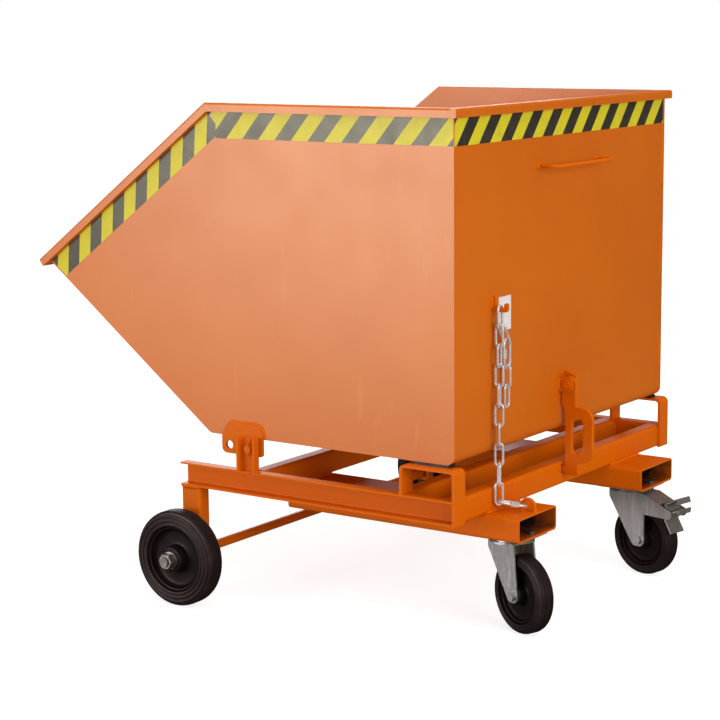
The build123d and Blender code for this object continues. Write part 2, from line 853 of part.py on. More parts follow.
castor_hub_length = castor_inside - 2 * rest_clearance
castor_bore = castor_axle / 2 + running_clearance
castor_tyre = tyre(castor_wheel_radius, castor_wheel_width, castor_seat, castor_shoulder)
castor_rim = wheel_rim(castor_seat, castor_wheel_width, castor_hub, castor_hub_length, castor_bore)
for side, sign, swivel in (("left", -1, left_swivel), ("right", 1, right_swivel)):
    y_middle = sign * tube_y
    place = Pos(castor_x, y_middle, 0) * Rot(0, 0, swivel)
    at_axle = place * Pos(castor_trail, 0, castor_axle_z)
    nodes["castor_plate_" + side] = [castor_plate(y_middle)]
    nodes["castor_fork_" + side] = [place * castor_fork(side == "right")]
    nodes["castor_axle_" + side] = [place * piece for piece in castor_axle_pieces()]
    nodes["castor_tyre_" + side] = [at_axle * castor_tyre]
    nodes["castor_rim_" + side] = [at_axle * castor_rim]
nodes["castor_kingpins"] = [castor_kingpin(-tube_y), castor_kingpin(tube_y)]
nodes["castor_bolts"] = castor_bolts(-tube_y) + castor_bolts(tube_y)


def bent_sheet(points, thickness, half_width):
    """Bent sheet along points behind and above the brake's pin, with round corners and ends."""
    places = [(brake_reach + x, brake_pin_z + z) for x, z in points]
    sheet = Part()
    for x, z in places:
        sheet += rod(thickness, (x, -half_width, z), (x, half_width, z))
    for (x_start, z_start), (x_end, z_end) in zip(places, places[1:]):
        run = sqrt((x_end - x_start) ** 2 + (z_end - z_start) ** 2)
        side_x = (z_end - z_start) / run * thickness / 2
        side_z = (x_start - x_end) / run * thickness / 2
        outline = [
            (x_start + side_x, z_start + side_z),
            (x_end + side_x, z_end + side_z),
            (x_end - side_x, z_end - side_z),
            (x_start - side_x, z_start - side_z),
        ]
        sheet += plate_along_y(outline, -half_width, half_width)
    return sheet


def brake_pedal():
    """Foot pedal: hub on the pin, an upper tread, a lower step, and a shoe hanging behind the tyre."""
    half = brake_width / 2
    start = (brake_reach, -half, brake_pin_z)
    end = (brake_reach, half, brake_pin_z)
    pedal = rod(brake_hub, start, end)
    for points in (brake_tread, brake_step, brake_shoe):
        pedal += bent_sheet(points, brake_sheet, half)
    return pedal - rod(brake_pin + 2 * running_clearance, start, end)


brake_place = Pos(castor_x, tube_y, 0) * Rot(0, 0, right_swivel)
nodes["brake_pedal"] = [brake_place * brake_pedal()]
nodes["brake_pin"] = [brake_place * brake_pin_piece()]

# Safety chain: from the eye on the left fork tube up to the hook on the rear wall
chain_half = chain_pitch / 2 + chain_wire / 2
chain_side = chain_inside / 2 + chain_wire / 2
chain_step = chain_pitch - rest_clearance
pair_offset = chain_wire / 2 + rest_clearance / 2
chain_y = hook_y - pair_offset

# The quick link runs from the chain's lowest link down to the eye's front leg, which it goes round
link_run = 2 * link_half_length * cos(radians(link_dip))
link_drop = 2 * link_half_length * sin(radians(link_dip))
link_low_z = tube_top + link_above_tube
link_high_z = link_low_z + link_drop
leg_run = link_run - link_wire / 2 - eye_bar / 2 - rest_clearance
eye_front = chain_x + leg_run * cos(radians(link_heading))
eye_rear = eye_front + eye_span
eye_y = chain_y + leg_run * sin(radians(link_heading))


def ring_link(half_length, half_width, wire):
    """Closed link: two straight sides and two round ends, long axis along X, lying in X and Y."""
    straight = half_length - half_width
    path = Line((-straight, -half_width), (straight, -half_width))
    path += RadiusArc((straight, -half_width), (straight, half_width), -half_width)
    path += Line((straight, half_width), (-straight, half_width))
    path += RadiusArc((-straight, half_width), (-straight, -half_width), -half_width)
    section = Plane(origin=(-straight, -half_width, 0), z_dir=(1, 0, 0)) * Circle(wire / 2)
    return sweep(section, path=path)


def quick_link():
    """Screw link and its threaded sleeve, about its own middle, long axis along X."""
    link = ring_link(link_half_length, link_half_width, link_wire)
    hexagon = Plane(origin=(-link_nut_length / 2, -link_half_width, 0), z_dir=(1, 0, 0))
    hexagon = hexagon * RegularPolygon(link_nut_flats / 2, 6, major_radius=False)
    sleeve = extrude(hexagon, amount=link_nut_length)
    bar = rod(link_wire, (-link_nut_length, -link_half_width, 0), (link_nut_length, -link_half_width, 0))
    return [link, sleeve - bar]


def eye_link():
    """The quick link between the chain's lowest link and the eye."""
    middle_x = chain_x + link_run / 2 * cos(radians(link_heading))
    middle_y = chain_y + link_run / 2 * sin(radians(link_heading))
    middle = Pos(middle_x, middle_y, link_low_z + link_drop / 2)
    return [middle * Rot(0, 0, link_heading) * Rot(0, link_dip, 0) * piece for piece in quick_link()]


def chain_eye():
    """Bent round bar welded on the fork tube."""
    shoulder = tube_top + eye_stem
    crest = ((eye_front + eye_rear) / 2, eye_y, shoulder + eye_span / 2)
    path = Line((eye_front, eye_y, tube_top), (eye_front, eye_y, shoulder))
    path += ThreePointArc((eye_front, eye_y, shoulder), crest, (eye_rear, eye_y, shoulder))
    path += Line((eye_rear, eye_y, shoulder), (eye_rear, eye_y, tube_top))
    return sweep(Plane(origin=(eye_front, eye_y, tube_top), z_dir=(0, 0, 1)) * Circle(eye_bar / 2), path=path)


# The taut part hangs straight down from the hook's link; each link is turned a little further than its
# neighbour, so that the top one lies along X and the lowest one along the quick link
chain_low_z = link_high_z - link_wire / 2 - chain_wire / 2 - 2 * rest_clearance
chain_top_z = chain_low_z + chain_step * (chain_count - 1) + 2 * chain_half
chain_twist = (link_heading - 90 * (chain_count - 1)) % 180 / (chain_count - 1)
hook_link_z = chain_top_z - rest_clearance + chain_half - chain_side
hook_room = sqrt((chain_inside / 2 - rest_clearance) ** 2 - (hook_width / 2) ** 2)
hook_bar_top = hook_link_z + chain_half - chain_side + hook_room


def hanging(piece, y, z, lean, turn):
    """A link with its long axis hanging down, leaning in Y and turned about its own length."""
    return Pos(chain_x, y, z) * Rot(lean, 0, 0) * Rot(0, 0, turn) * Rot(0, 90, 0) * piece


def safety_chain():
    """Link over the hook, the taut part down to the quick link, and the spare end beside it."""
    link = ring_link(chain_half, chain_side, chain_wire)
    links = [hanging(link, hook_y, hook_link_z, 0, 0)]
    for index in range(chain_count):
        z = chain_top_z - chain_half - index * chain_step
        links.append(hanging(link, chain_y, z, 0, 90 + index * (90 + chain_twist)))
    splay = radians(spare_splay)
    spare_y = hook_y + pair_offset + chain_half * sin(splay)
    z = chain_top_z - chain_half * cos(splay)
    links.append(hanging(link, spare_y, z, spare_splay, 90))
    spare_y += chain_half * sin(splay)
    seat = link_wire / 2 + chain_wire / 2 + rest_clearance
    z += seat - chain_half * cos(splay) - link_half_length
    links += [hanging(piece, spare_y, z, 0, 0) for piece in quick_link()]
    z += seat - link_half_length - chain_half
    for index in range(chain_spare):
        links.append(hanging(link, spare_y, z - index * chain_step, 0, 90 + 90 * index))
    return links


def chain_hook():
    """Flat bar bent to a J, its back on the rear wall."""
    low = hook_bar_top - hook_bar
    outline = [
        (0, hook_bar_top + hook_back),
        (0, low),
        (hook_reach, low),
        (hook_reach, hook_bar_top + hook_tip),
        (hook_reach - hook_bar, hook_bar_top + hook_tip),
        (hook_reach - hook_bar, hook_bar_top),
        (hook_bar, hook_bar_top),
        (hook_bar, hook_bar_top + hook_back),
    ]
    inner = hook_bend / 2
    radii = [0, hook_bend, hook_bend, inner, inner, inner, inner, 0]
    return plate_along_y(outline, hook_y - hook_width / 2, hook_y + hook_width / 2, radii)


nodes["chain_eye"] = [chain_eye()]
nodes["quick_link"] = eye_link()
nodes["chain_hook"] = [chain_hook()]
nodes["safety_chain"] = safety_chain()

# Move everything so that the origin is under the middle of the trolley's box, and write the pieces
whole = Compound([solid for pieces in nodes.values() for piece in pieces for solid in piece.solids()])
box = whole.bounding_box()
shift = -(box.min.X + box.max.X) / 2
os.makedirs("parts", exist_ok=True)
for name, pieces in nodes.items():
    solids = [Pos(shift, 0, 0) * solid for piece in pieces for solid in piece.solids()]
    shape = solids[0] if len(solids) == 1 else Compound(solids)
    export_step(shape, "parts/" + name + ".step")
print(len(nodes), "nodes, shift along X", round(shift, 4), "box", box.size)
print("hook bar top", round(hook_bar_top, 2), "lowest link", round(chain_low_z, 2))
print("eye", round(eye_front, 2), round(eye_y, 2))
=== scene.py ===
# %% [markdown]
# A tipping skip trolley. The CAD model gives every rigid piece its shape and place; this script loads it
# as a fixed frame and adds what a paint shop, a welder and a roll of warning tape add.
# All lengths are in metres, in the CAD model's own frame: +Z up, the pouring lip towards -X.
# The few values in millimetres say so.

# %% Load the frame
import bpy
import bmesh
import json
import math
import random
from mathutils import Matrix, Vector


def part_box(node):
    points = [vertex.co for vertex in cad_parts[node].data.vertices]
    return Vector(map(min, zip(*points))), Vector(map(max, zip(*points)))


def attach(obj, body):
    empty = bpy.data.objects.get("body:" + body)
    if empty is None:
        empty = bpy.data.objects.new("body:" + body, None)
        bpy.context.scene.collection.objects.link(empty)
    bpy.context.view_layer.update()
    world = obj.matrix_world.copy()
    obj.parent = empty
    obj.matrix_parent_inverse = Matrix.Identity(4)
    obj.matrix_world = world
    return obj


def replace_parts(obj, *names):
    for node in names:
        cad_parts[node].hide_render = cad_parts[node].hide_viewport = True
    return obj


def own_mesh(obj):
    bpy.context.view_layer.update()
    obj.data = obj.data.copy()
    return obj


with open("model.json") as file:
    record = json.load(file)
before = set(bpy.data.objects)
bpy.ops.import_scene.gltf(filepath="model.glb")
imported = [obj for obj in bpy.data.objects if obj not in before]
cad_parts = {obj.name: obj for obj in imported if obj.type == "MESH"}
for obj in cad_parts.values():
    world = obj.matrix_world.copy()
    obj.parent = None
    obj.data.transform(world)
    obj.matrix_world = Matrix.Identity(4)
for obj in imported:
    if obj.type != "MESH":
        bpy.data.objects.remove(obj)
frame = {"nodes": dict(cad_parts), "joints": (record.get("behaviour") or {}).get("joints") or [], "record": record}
nodes = frame["nodes"]
scene = bpy.context.scene
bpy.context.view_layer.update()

# %% [markdown]
# The photograph was taken from behind and to the left of the trolley, a little above its top edge, with
# a long lens. A camera can be placed by eye, but parallel edges then never quite line up. This one
# stands where the edges of the skip, the frame and the wheels all fall on those of the photograph.

# %% Camera
PHOTO_SIDE = 720
FOCAL_PIXELS = 2064.6
SENSOR_MM = 36.0
CAMERA_PLACE = Vector((2.5215, -3.7414, 1.2437))
CAMERA_TURN = math.radians(34.805)
CAMERA_DIP = math.radians(9.746)
CAMERA_ROLL = math.radians(-0.538)

camera_data = bpy.data.cameras.new("photo_camera")
camera_data.sensor_width = SENSOR_MM
camera_data.lens = FOCAL_PIXELS * SENSOR_MM / PHOTO_SIDE
camera = bpy.data.objects.new("photo_camera", camera_data)
scene.collection.objects.link(camera)
turn = Matrix.Rotation(CAMERA_TURN, 4, "Z")
tilt = Matrix.Rotation(math.pi / 2 - CAMERA_DIP, 4, "X")
roll = Matrix.Rotation(CAMERA_ROLL, 4, "Z")
camera.matrix_world = Matrix.Translation(CAMERA_PLACE) @ turn @ tilt @ roll
scene.camera = camera
print("camera lens", round(camera_data.lens, 1), "mm")

# %% [markdown]
# The studio is a white sweep. A floor that is only lit goes grey at the far end, so the camera sees it a
# little brighter than its light makes it, and the soft shadow under the wheels stays. Paint and metal
# mirror a dimmer, warmer floor and room, as the photograph's did. Blender can tell a camera's rays from
# those that a mirror sends on, so each kind can be shown its own shader. Three helpers keep the node
# trees short: one makes a material, one adds a node, one chooses a shader by the kind of ray.

# %% Helpers for node trees


def new_material(name):
    """A node material, its tree and its Principled shader."""
    material = bpy.data.materials.new(name)
    material.use_nodes = True
    tree = material.node_tree
    return material, tree, tree.nodes["Principled BSDF"]


def add_node(tree, kind, **values):
    """A node of a kind, with its sockets (by name) and properties set."""
    node = tree.nodes.new(kind)
    for key, value in values.items():
        if hasattr(node, key):
            setattr(node, key, value)
        else:
            node.inputs[key.replace("_", " ")].default_value = value
    return node


def choose_by_ray(tree, lit, mirrored, seen):
    """One shader for light, one for what mirrors see and one for what the camera sees."""
    path = add_node(tree, "ShaderNodeLightPath")
    shown = lit
    for ray, other in (("Is Glossy Ray", mirrored), ("Is Camera Ray", seen)):
        choose = add_node(tree, "ShaderNodeMixShader")
        tree.links.new(path.outputs[ray], choose.inputs[0])
        tree.links.new(shown.outputs[0], choose.inputs[1])
        tree.links.new(other.outputs[0], choose.inputs[2])
        shown = choose
    return shown.outputs[0]


# %% White floor
FLOOR_SIDE = 80.0
FLOOR_WHITE = (0.55, 0.55, 0.55, 1)
FLOOR_MIRRORED = (0.10, 0.088, 0.055, 1)
FLOOR_SEEN = (0.54, 0.54, 0.54, 1)
FLOOR_GLOW = 0.75

half = FLOOR_SIDE / 2
floor_corners = [(-half, -half, 0), (half, -half, 0), (half, half, 0), (-half, half, 0)]
floor_mesh = bpy.data.meshes.new("floor")
floor_mesh.from_pydata(floor_corners, [], [(0, 1, 2, 3)])
floor = bpy.data.objects.new("floor", floor_mesh)
scene.collection.objects.link(floor)

floor_material, tree, shader = new_material("studio_floor")
tree.nodes.remove(shader)
lit, mirrored, seen = (add_node(tree, "ShaderNodeBsdfDiffuse", Color=colour)
                       for colour in (FLOOR_WHITE, FLOOR_MIRRORED, FLOOR_SEEN))
glow = add_node(tree, "ShaderNodeEmission", Strength=FLOOR_GLOW)
brighter = add_node(tree, "ShaderNodeAddShader")
tree.links.new(seen.outputs[0], brighter.inputs[0])
tree.links.new(glow.outputs[0], brighter.inputs[1])
shown = choose_by_ray(tree, lit, mirrored, brighter)
tree.links.new(shown, tree.nodes["Material Output"].inputs["Surface"])
floor.data.materials.append(floor_material)
print("floor", FLOOR_SIDE, "m wide")

# %% White room
WHITE = (1, 1, 1, 1)
WARM = (1, 0.88, 0.55, 1)
WORLD_LIGHT = 0.50
WORLD_MIRRORED = 0.13
WORLD_SEEN = 1.0

scene.view_settings.view_transform = "Standard"
world = bpy.data.worlds.new("studio")
scene.world = world
world.use_nodes = True
tree = world.node_tree
lit = tree.nodes["Background"]
lit.inputs["Color"].default_value = WHITE
lit.inputs["Strength"].default_value = WORLD_LIGHT
mirrored = add_node(tree, "ShaderNodeBackground", Color=WARM, Strength=WORLD_MIRRORED)
seen = add_node(tree, "ShaderNodeBackground", Color=WHITE, Strength=WORLD_SEEN)
shown = choose_by_ray(tree, lit, mirrored, seen)
tree.links.new(shown, tree.nodes["World Output"].inputs["Surface"])
print("world light", WORLD_LIGHT)

# %% [markdown]
# Four large soft boxes light the trolley: from the front left, from above, from the rear and from the far
# side. On the left wall the photograph shows a broad milky sheen: a long white panel mirrored in the
# semi-gloss paint. That panel is a fifth lamp, which gives no light of its own to matt surfaces, so the
# sheen can be set without bleaching the paint's colour.

# %% Lamps


def soft_box(name, place, target, size, power):
    """A large rectangular lamp that looks at a point; its power is in watts."""
    data = bpy.data.lights.new(name, "AREA")
    data.shape = "RECTANGLE"
    data.size, data.size_y = size
    data.energy = power
    lamp = bpy.data.objects.new(name, data)
    scene.collection.objects.link(lamp)
    place = Vector(place)
    aim = (Vector(target) - place).to_track_quat("-Z", "Y")
    lamp.matrix_world = Matrix.Translation(place) @ aim.to_matrix().to_4x4()
    lamp.visible_camera = False
    return lamp


soft_box("front_left_box", place=(-1.7, -5.0, 0.95), target=(0.0, -0.4, 0.5), size=(2.4, 1.6), power=71)
soft_box("ceiling_box", place=(0.4, -0.8, 4.6), target=(0, 0, 0.5), size=(4.0, 3.0), power=95)
soft_box("rear_box", place=(4.5, -1.8, 1.6), target=(0.4, 0, 0.6), size=(2.4, 2.0), power=105)
soft_box("far_side_box", place=(-3.4, 4.4, 1.9), target=(-0.1, 0.2, 0.6), size=(2.6, 2.0), power=110)
sheen_panel = soft_box("sheen_panel", place=(-1.25, -3.1, 1.08), target=(0.15, -0.44, 0.76),
                       size=(2.3, 1.75), power=216)
sheen_panel.visible_diffuse = False

# %% [markdown]
# Powder coat is an even, semi-gloss plastic skin. Seen close, it has a fine orange-peel texture; seen
# from a step away, its colour drifts a little and its sheen breaks up. A flat colour with one roughness
# looks like a toy, so colour, roughness and bump each get their own noise, at the size the real thing
# has. The big sheets of the skip are glossier than the frame's rolled bars, so there are two coats. The
# frame's orange is also painted brighter and a shade redder than the skip's: that is painted light, for
# light that the lamps give the frame's lower faces too little of.

# %% Helpers for noise


def object_place(tree):
    """Coordinates in metres that stay with the piece."""
    return add_node(tree, "ShaderNodeTexCoord").outputs["Object"]


def stretched(tree, place, scale):
    """The same coordinates, scaled along each axis."""
    node = add_node(tree, "ShaderNodeMapping", Scale=scale)
    tree.links.new(place, node.inputs["Vector"])
    return node.outputs["Vector"]


def noise(tree, place, cells, detail, roughness=0.5):
    """Noise of a given number of cells to the metre."""
    node = add_node(tree, "ShaderNodeTexNoise", Scale=cells, Detail=detail, Roughness=roughness)
    tree.links.new(place, node.inputs["Vector"])
    return node.outputs["Fac"]


def spread(tree, value, low, high, from_low=0.3, from_high=0.7):
    """Maps a noise value to a range."""
    node = add_node(tree, "ShaderNodeMapRange")
    node.inputs["From Min"].default_value = from_low
    node.inputs["From Max"].default_value = from_high
    node.inputs["To Min"].default_value = low
    node.inputs["To Max"].default_value = high
    tree.links.new(value, node.inputs["Value"])
    return node.outputs["Result"]


def mix_colours(tree, share, first, second):
    """Mixes two colours; each is a constant or a socket."""
    node = add_node(tree, "ShaderNodeMix", data_type="RGBA")
    tree.links.new(share, node.inputs["Factor"])
    for socket, colour in ((node.inputs[6], first), (node.inputs[7], second)):
        if isinstance(colour, tuple):
            socket.default_value = colour
        else:
            tree.links.new(colour, socket)
    return node.outputs[2]


# %% Helpers for the shader


def set_gloss(shader, level, tint):
    """How strong the mirror layer of a paint or plastic is, and its colour."""
    shader.inputs["Specular IOR Level"].default_value = level
    shader.inputs["Specular Tint"].default_value = tint


def set_roughness(tree, shader, patches, low, high):
    """Roughness that goes from low to high with a noise."""
    tree.links.new(spread(tree, patches, low, high), shader.inputs["Roughness"])


def bump(tree, shader, height, strength, distance):
    """Bump from a height value."""
    node = add_node(tree, "ShaderNodeBump", Strength=strength, Distance=distance)
    tree.links.new(height, node.inputs["Height"])
    tree.links.new(node.outputs["Normal"], shader.inputs["Normal"])


# %% Orange powder coat
SKIP_ORANGE = (0.63, 0.134, 0.0020, 1)
SKIP_ORANGE_DEEP = (0.57, 0.113, 0.0012, 1)
# The frame's two oranges are painted brighter than the skip's: painted light for the frame's lower faces.
FRAME_ORANGE_PAINTED_LIGHT = (0.70, 0.132, 0.0010, 1)
FRAME_DEEP_ORANGE_PAINTED_LIGHT = (0.64, 0.113, 0.0008, 1)
SCUFF = (0.66, 0.19, 0.02, 1)
SCUFF_MOST = 0.35
UPRIGHT = (1, 1, 0.16)
WARM_SHEEN = (0.97, 1.0, 0.80, 1)
SKIP_GLOSS = 0.28
FRAME_GLOSS = 0.05


def powder_coat(name, colour, deep, gloss):
    """Orange powder coat with orange peel, a drifting tone and a few faint upright scuffs."""
    material, tree, shader = new_material(name)
    set_gloss(shader, gloss, WARM_SHEEN)
    place = object_place(tree)
    cloud = spread(tree, noise(tree, place, cells=2.3, detail=3), 0, 1)
    tone = mix_colours(tree, cloud, colour, deep)
    streak = noise(tree, stretched(tree, place, UPRIGHT), cells=38.0, detail=5, roughness=0.62)
    scuffs = spread(tree, streak, 0, SCUFF_MOST, from_low=0.62, from_high=0.74)
    tree.links.new(mix_colours(tree, scuffs, tone, SCUFF), shader.inputs["Base Color"])
    set_roughness(tree, shader, noise(tree, place, cells=9.0, detail=4), 0.40, 0.45)
    bump(tree, shader, noise(tree, place, cells=700.0, detail=1), strength=0.12, distance=0.0006)
    return material


skip_paint = powder_coat("skip_powder_coat", SKIP_ORANGE, SKIP_ORANGE_DEEP, SKIP_GLOSS)
# The frame coat carries painted light in its brighter orange.
frame_paint = powder_coat("frame_powder_coat", FRAME_ORANGE_PAINTED_LIGHT, FRAME_DEEP_ORANGE_PAINTED_LIGHT, FRAME_GLOSS)
print("made", skip_paint.name, frame_paint.name)

# %% [markdown]
# Zinc plate is a thin bright metal skin over pressed steel. The castor forks are dull and carry faint
# upright drawing marks from the press. The chain is brighter, and as its skin is a fine white bloom, it
# scatters light as well as mirroring it, so it is only half metallic. Nuts, washers and bolts are worn
# and brownish. All three are the same recipe with other numbers.

# %% Zinc plate
PATCHES_PER_MOTTLE = 2.3


def zinc_plate(name, light, dark, metal, roughness, mottle, streaks):
    """Plated steel with mottles of a number to the metre, drawn out along Z where streaks is small."""
    material, tree, shader = new_material(name)
    shader.inputs["Metallic"].default_value = metal
    place = object_place(tree)
    drawn = noise(tree, stretched(tree, place, (1, 1, streaks)), mottle, detail=4, roughness=0.6)
    tone = mix_colours(tree, spread(tree, drawn, 0, 1), light, dark)
    tree.links.new(tone, shader.inputs["Base Color"])
    patches = noise(tree, place, mottle * PATCHES_PER_MOTTLE, detail=3)
    set_roughness(tree, shader, patches, *roughness)
    bump(tree, shader, drawn, strength=0.05, distance=0.0004)
    return material


dull_zinc = zinc_plate("dull_zinc", light=(0.56, 0.54, 0.54, 1), dark=(0.36, 0.345, 0.345, 1),
                       metal=0.9, roughness=(0.34, 0.50), mottle=120.0, streaks=0.12)
bright_zinc = zinc_plate("bright_zinc", light=(0.84, 0.81, 0.80, 1), dark=(0.64, 0.61, 0.60, 1),
                         metal=0.5, roughness=(0.24, 0.38), mottle=160.0, streaks=1.0)
worn_zinc = zinc_plate("worn_zinc", light=(0.23, 0.22, 0.215, 1), dark=(0.15, 0.12, 0.10, 1),
                       metal=0.9, roughness=(0.36, 0.52), mottle=110.0, streaks=1.0)
print("made", dull_zinc.name, bright_zinc.name, worn_zinc.name)

# %% [markdown]
# Solid tyres are brown-black rubber, matt, with floor dust worked into the surface. The rims are moulded
# plastic, darker still. The rest pads are plain rubber, and the label is a bare white plate. Black
# pieces show little but what they mirror, so the colour of that sheen is set as well as their own.

# %% Rubber and plastic
BROWN_SHEEN = (1.0, 0.78, 0.76, 1)


def rubber(name, dark, dusty, roughness, gloss):
    """Matt rubber with a thin film of dust."""
    material, tree, shader = new_material(name)
    set_gloss(shader, gloss, BROWN_SHEEN)
    place = object_place(tree)
    film = noise(tree, place, cells=26.0, detail=5, roughness=0.65)
    dust = spread(tree, film, 0, 1, from_low=0.42, from_high=0.72)
    tree.links.new(mix_colours(tree, dust, dark, dusty), shader.inputs["Base Color"])
    set_roughness(tree, shader, noise(tree, place, cells=60.0, detail=3), *roughness)
    bump(tree, shader, noise(tree, place, cells=480.0, detail=2), strength=0.18, distance=0.0006)
    return material


tyre_rubber = rubber("tyre_rubber", dark=(0.0128, 0.0072, 0.0068, 1), dusty=(0.0205, 0.0134, 0.0130, 1),
                     roughness=(0.44, 0.60), gloss=0.14)
pad_rubber = rubber("pad_rubber", dark=(0.014, 0.014, 0.014, 1), dusty=(0.028, 0.026, 0.025, 1),
                    roughness=(0.6, 0.8), gloss=0.3)
rim_plastic = rubber("rim_plastic", dark=(0.0078, 0.0042, 0.0040, 1), dusty=(0.0120, 0.0075, 0.0071, 1),
                     roughness=(0.40, 0.55), gloss=0.07)
print("made", tyre_rubber.name, rim_plastic.name, pad_rubber.name)

# %% Bare label
LABEL_WHITE = (0.84, 0.77, 0.75, 1)
LABEL_SOILED = (0.72, 0.65, 0.62, 1)


def label_stock():
    """Bare white plate, slightly soiled."""
    material, tree, shader = new_material("bare_label")
    place = object_place(tree)
    soil = spread(tree, noise(tree, place, cells=60.0, detail=4), 0, 1)
    tree.links.new(mix_colours(tree, soil, LABEL_WHITE, LABEL_SOILED), shader.inputs["Base Color"])
    set_roughness(tree, shader, noise(tree, place, cells=140.0, detail=2), 0.32, 0.5)
    bump(tree, shader, noise(tree, place, cells=300.0, detail=2), strength=0.05, distance=0.0003)
    return material


white_label = label_stock()
print("made", white_label.name)

# %% [markdown]
# The front axle is the one piece with two finishes: it was painted with the frame, and its ends were
# masked, so that the wheels and nuts go on bare metal. Two objects could do it, but the border would be a
# seam in the mesh. Instead its one material changes from paint to zinc by the distance from the middle.

# %% Masked axle
MASKED_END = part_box("front_leg_right")[1].y + 0.0005
BARE_ZINC = (0.24, 0.23, 0.225, 1)
BARE_ZINC_DARK = (0.16, 0.135, 0.12, 1)


def from_middle(tree, place, axis, middle):
    """The distance from a plane across an axis, on either side of it."""
    axes = add_node(tree, "ShaderNodeSeparateXYZ")
    offset = add_node(tree, "ShaderNodeMath", operation="SUBTRACT")
    offset.inputs[1].default_value = middle
    distance = add_node(tree, "ShaderNodeMath", operation="ABSOLUTE")
    tree.links.new(place, axes.inputs[0])
    tree.links.new(axes.outputs[axis], offset.inputs[0])
    tree.links.new(offset.outputs[0], distance.inputs[0])
    return distance.outputs[0]


def masked_axle():
    """Paint in the middle, bare zinc past the legs."""
    material, tree, shader = new_material("masked_axle")
    set_gloss(shader, FRAME_GLOSS, WHITE)
    place = object_place(tree)
    bare = add_node(tree, "ShaderNodeMath", operation="GREATER_THAN")
    bare.inputs[1].default_value = MASKED_END
    tree.links.new(from_middle(tree, place, "Y", 0), bare.inputs[0])
    cloud = spread(tree, noise(tree, place, cells=12.0, detail=3), 0, 1)
    # The painted middle uses the frame's brighter orange, which holds painted light.
    coat = mix_colours(tree, cloud, FRAME_ORANGE_PAINTED_LIGHT, FRAME_DEEP_ORANGE_PAINTED_LIGHT)
    metal = mix_colours(tree, cloud, BARE_ZINC, BARE_ZINC_DARK)
    tree.links.new(mix_colours(tree, bare.outputs[0], coat, metal), shader.inputs["Base Color"])
    tree.links.new(bare.outputs[0], shader.inputs["Metallic"])
    set_roughness(tree, shader, noise(tree, place, cells=30.0, detail=3), 0.34, 0.48)
    bump(tree, shader, noise(tree, place, cells=600.0, detail=1), strength=0.1, distance=0.0005)
    return material


axle_finish = masked_axle()
print("axle bare beyond", round(MASKED_END, 4), "m from the middle")

# %% [markdown]
# Every CAD node gets the finish of its material slot in the record. A slot says what a piece is made of,
# not how it came out of the paint shop, so the skip's sheets, the axle and the fasteners are then given
# their own finish by name.

# %% Finishes on the CAD nodes
FINISH = {
    "paint": frame_paint,
    "zinc": dull_zinc,
    "bright_zinc": bright_zinc,
    "tyre": tyre_rubber,
    "wheel_rim": rim_plastic,
    "pad": pad_rubber,
    "label": white_label,
}
SKIP_SHEETS = ("skip_shell", "skip_side_left", "skip_side_right",
               "rim_left", "rim_right", "rim_rear", "rim_lip")
FASTENERS = ("axle_washers", "castor_bolts")

for part in frame["record"]["subparts"]:
    piece = nodes[part["node"]]
    piece.data.materials.clear()
    piece.data.materials.append(FINISH[part["material_slot"]])
for name in SKIP_SHEETS:
    nodes[name].data.materials[0] = skip_paint
nodes["front_axle"].data.materials[0] = axle_finish
for name in FASTENERS:
    nodes[name].data.materials[0] = worn_zinc

# %% [markdown]
# The inside of each fork tube is painted with shade: orange near the open ends, fading to near black
# towards the middle, as painted shade where little light reaches. The faces of the inside get a second
# material, which mixes the two by the distance from the middle of the tube. Noise on that distance keeps
# the border ragged.

# %% Insides of the fork tubes
TUBE_WALL = 0.004
INSIDE_WALL = TUBE_WALL * 0.9
SHADE_FADE_LENGTH = 0.06
END_ORANGE_MOST = 0.60
SHADE_BORDER_RAGGED = 0.02
# Near-black painted shade for the middle of the tubes' insides.
TUBE_PAINTED_SHADE = (0.020, 0.014, 0.011, 1)


def tube_inside(low, high):
    """Painted shade: near black in the middle of the tube, fading to orange at the ends."""
    material, tree, shader = new_material("tube_inside")
    set_gloss(shader, FRAME_GLOSS, WHITE)
    place = object_place(tree)
    ragged = add_node(tree, "ShaderNodeMath", operation="ADD")
    tree.links.new(from_middle(tree, place, "X", (low.x + high.x) / 2), ragged.inputs[0])
    shift = spread(tree, noise(tree, place, cells=55.0, detail=4), -SHADE_BORDER_RAGGED, SHADE_BORDER_RAGGED)
    tree.links.new(shift, ragged.inputs[1])
    end = (high.x - low.x) / 2
    orange_share = spread(tree, ragged.outputs[0], 0, END_ORANGE_MOST, from_low=end - SHADE_FADE_LENGTH, from_high=end)
    colour = mix_colours(tree, orange_share, TUBE_PAINTED_SHADE, FRAME_DEEP_ORANGE_PAINTED_LIGHT)
    tree.links.new(colour, shader.inputs["Base Color"])
    set_roughness(tree, shader, noise(tree, place, cells=40.0, detail=3), 0.5, 0.7)
    bump(tree, shader, noise(tree, place, cells=500.0, detail=2), strength=0.15, distance=0.0006)
    return material


for name in ("fork_tube_left", "fork_tube_right"):
    tube = nodes[name].data
    low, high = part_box(name)
    tube.materials.append(tube_inside(low, high))
    inside_faces = 0
    for face in tube.polygons:
        in_y = low.y + INSIDE_WALL < face.center.y < high.y - INSIDE_WALL
        in_z = low.z + INSIDE_WALL < face.center.z < high.z - INSIDE_WALL
        faces_end = abs(face.normal.x) > 0.5
        if in_y and in_z and not faces_end:
            face.material_index = 1
            inside_faces += 1
    print(name, "has", inside_faces, "inside faces")

# %% [markdown]
# Pressed sheet has no sharp edges: the press rolls each one over, and on zinc that thin round catches the
# light as a bright line. The CAD forks are square-edged, so a bevel is laid over them. Their meshes come
# in with doubled vertices along every edge, which a weld modifier joins first, or the bevel would find no
# edge to cut.

# %% Rolled edges on the castor forks
ROLLED_EDGE = 0.0014
ROLLED_STEPS = 2
ROLLED_FROM = math.radians(40)
SAME_PLACE = 0.00001

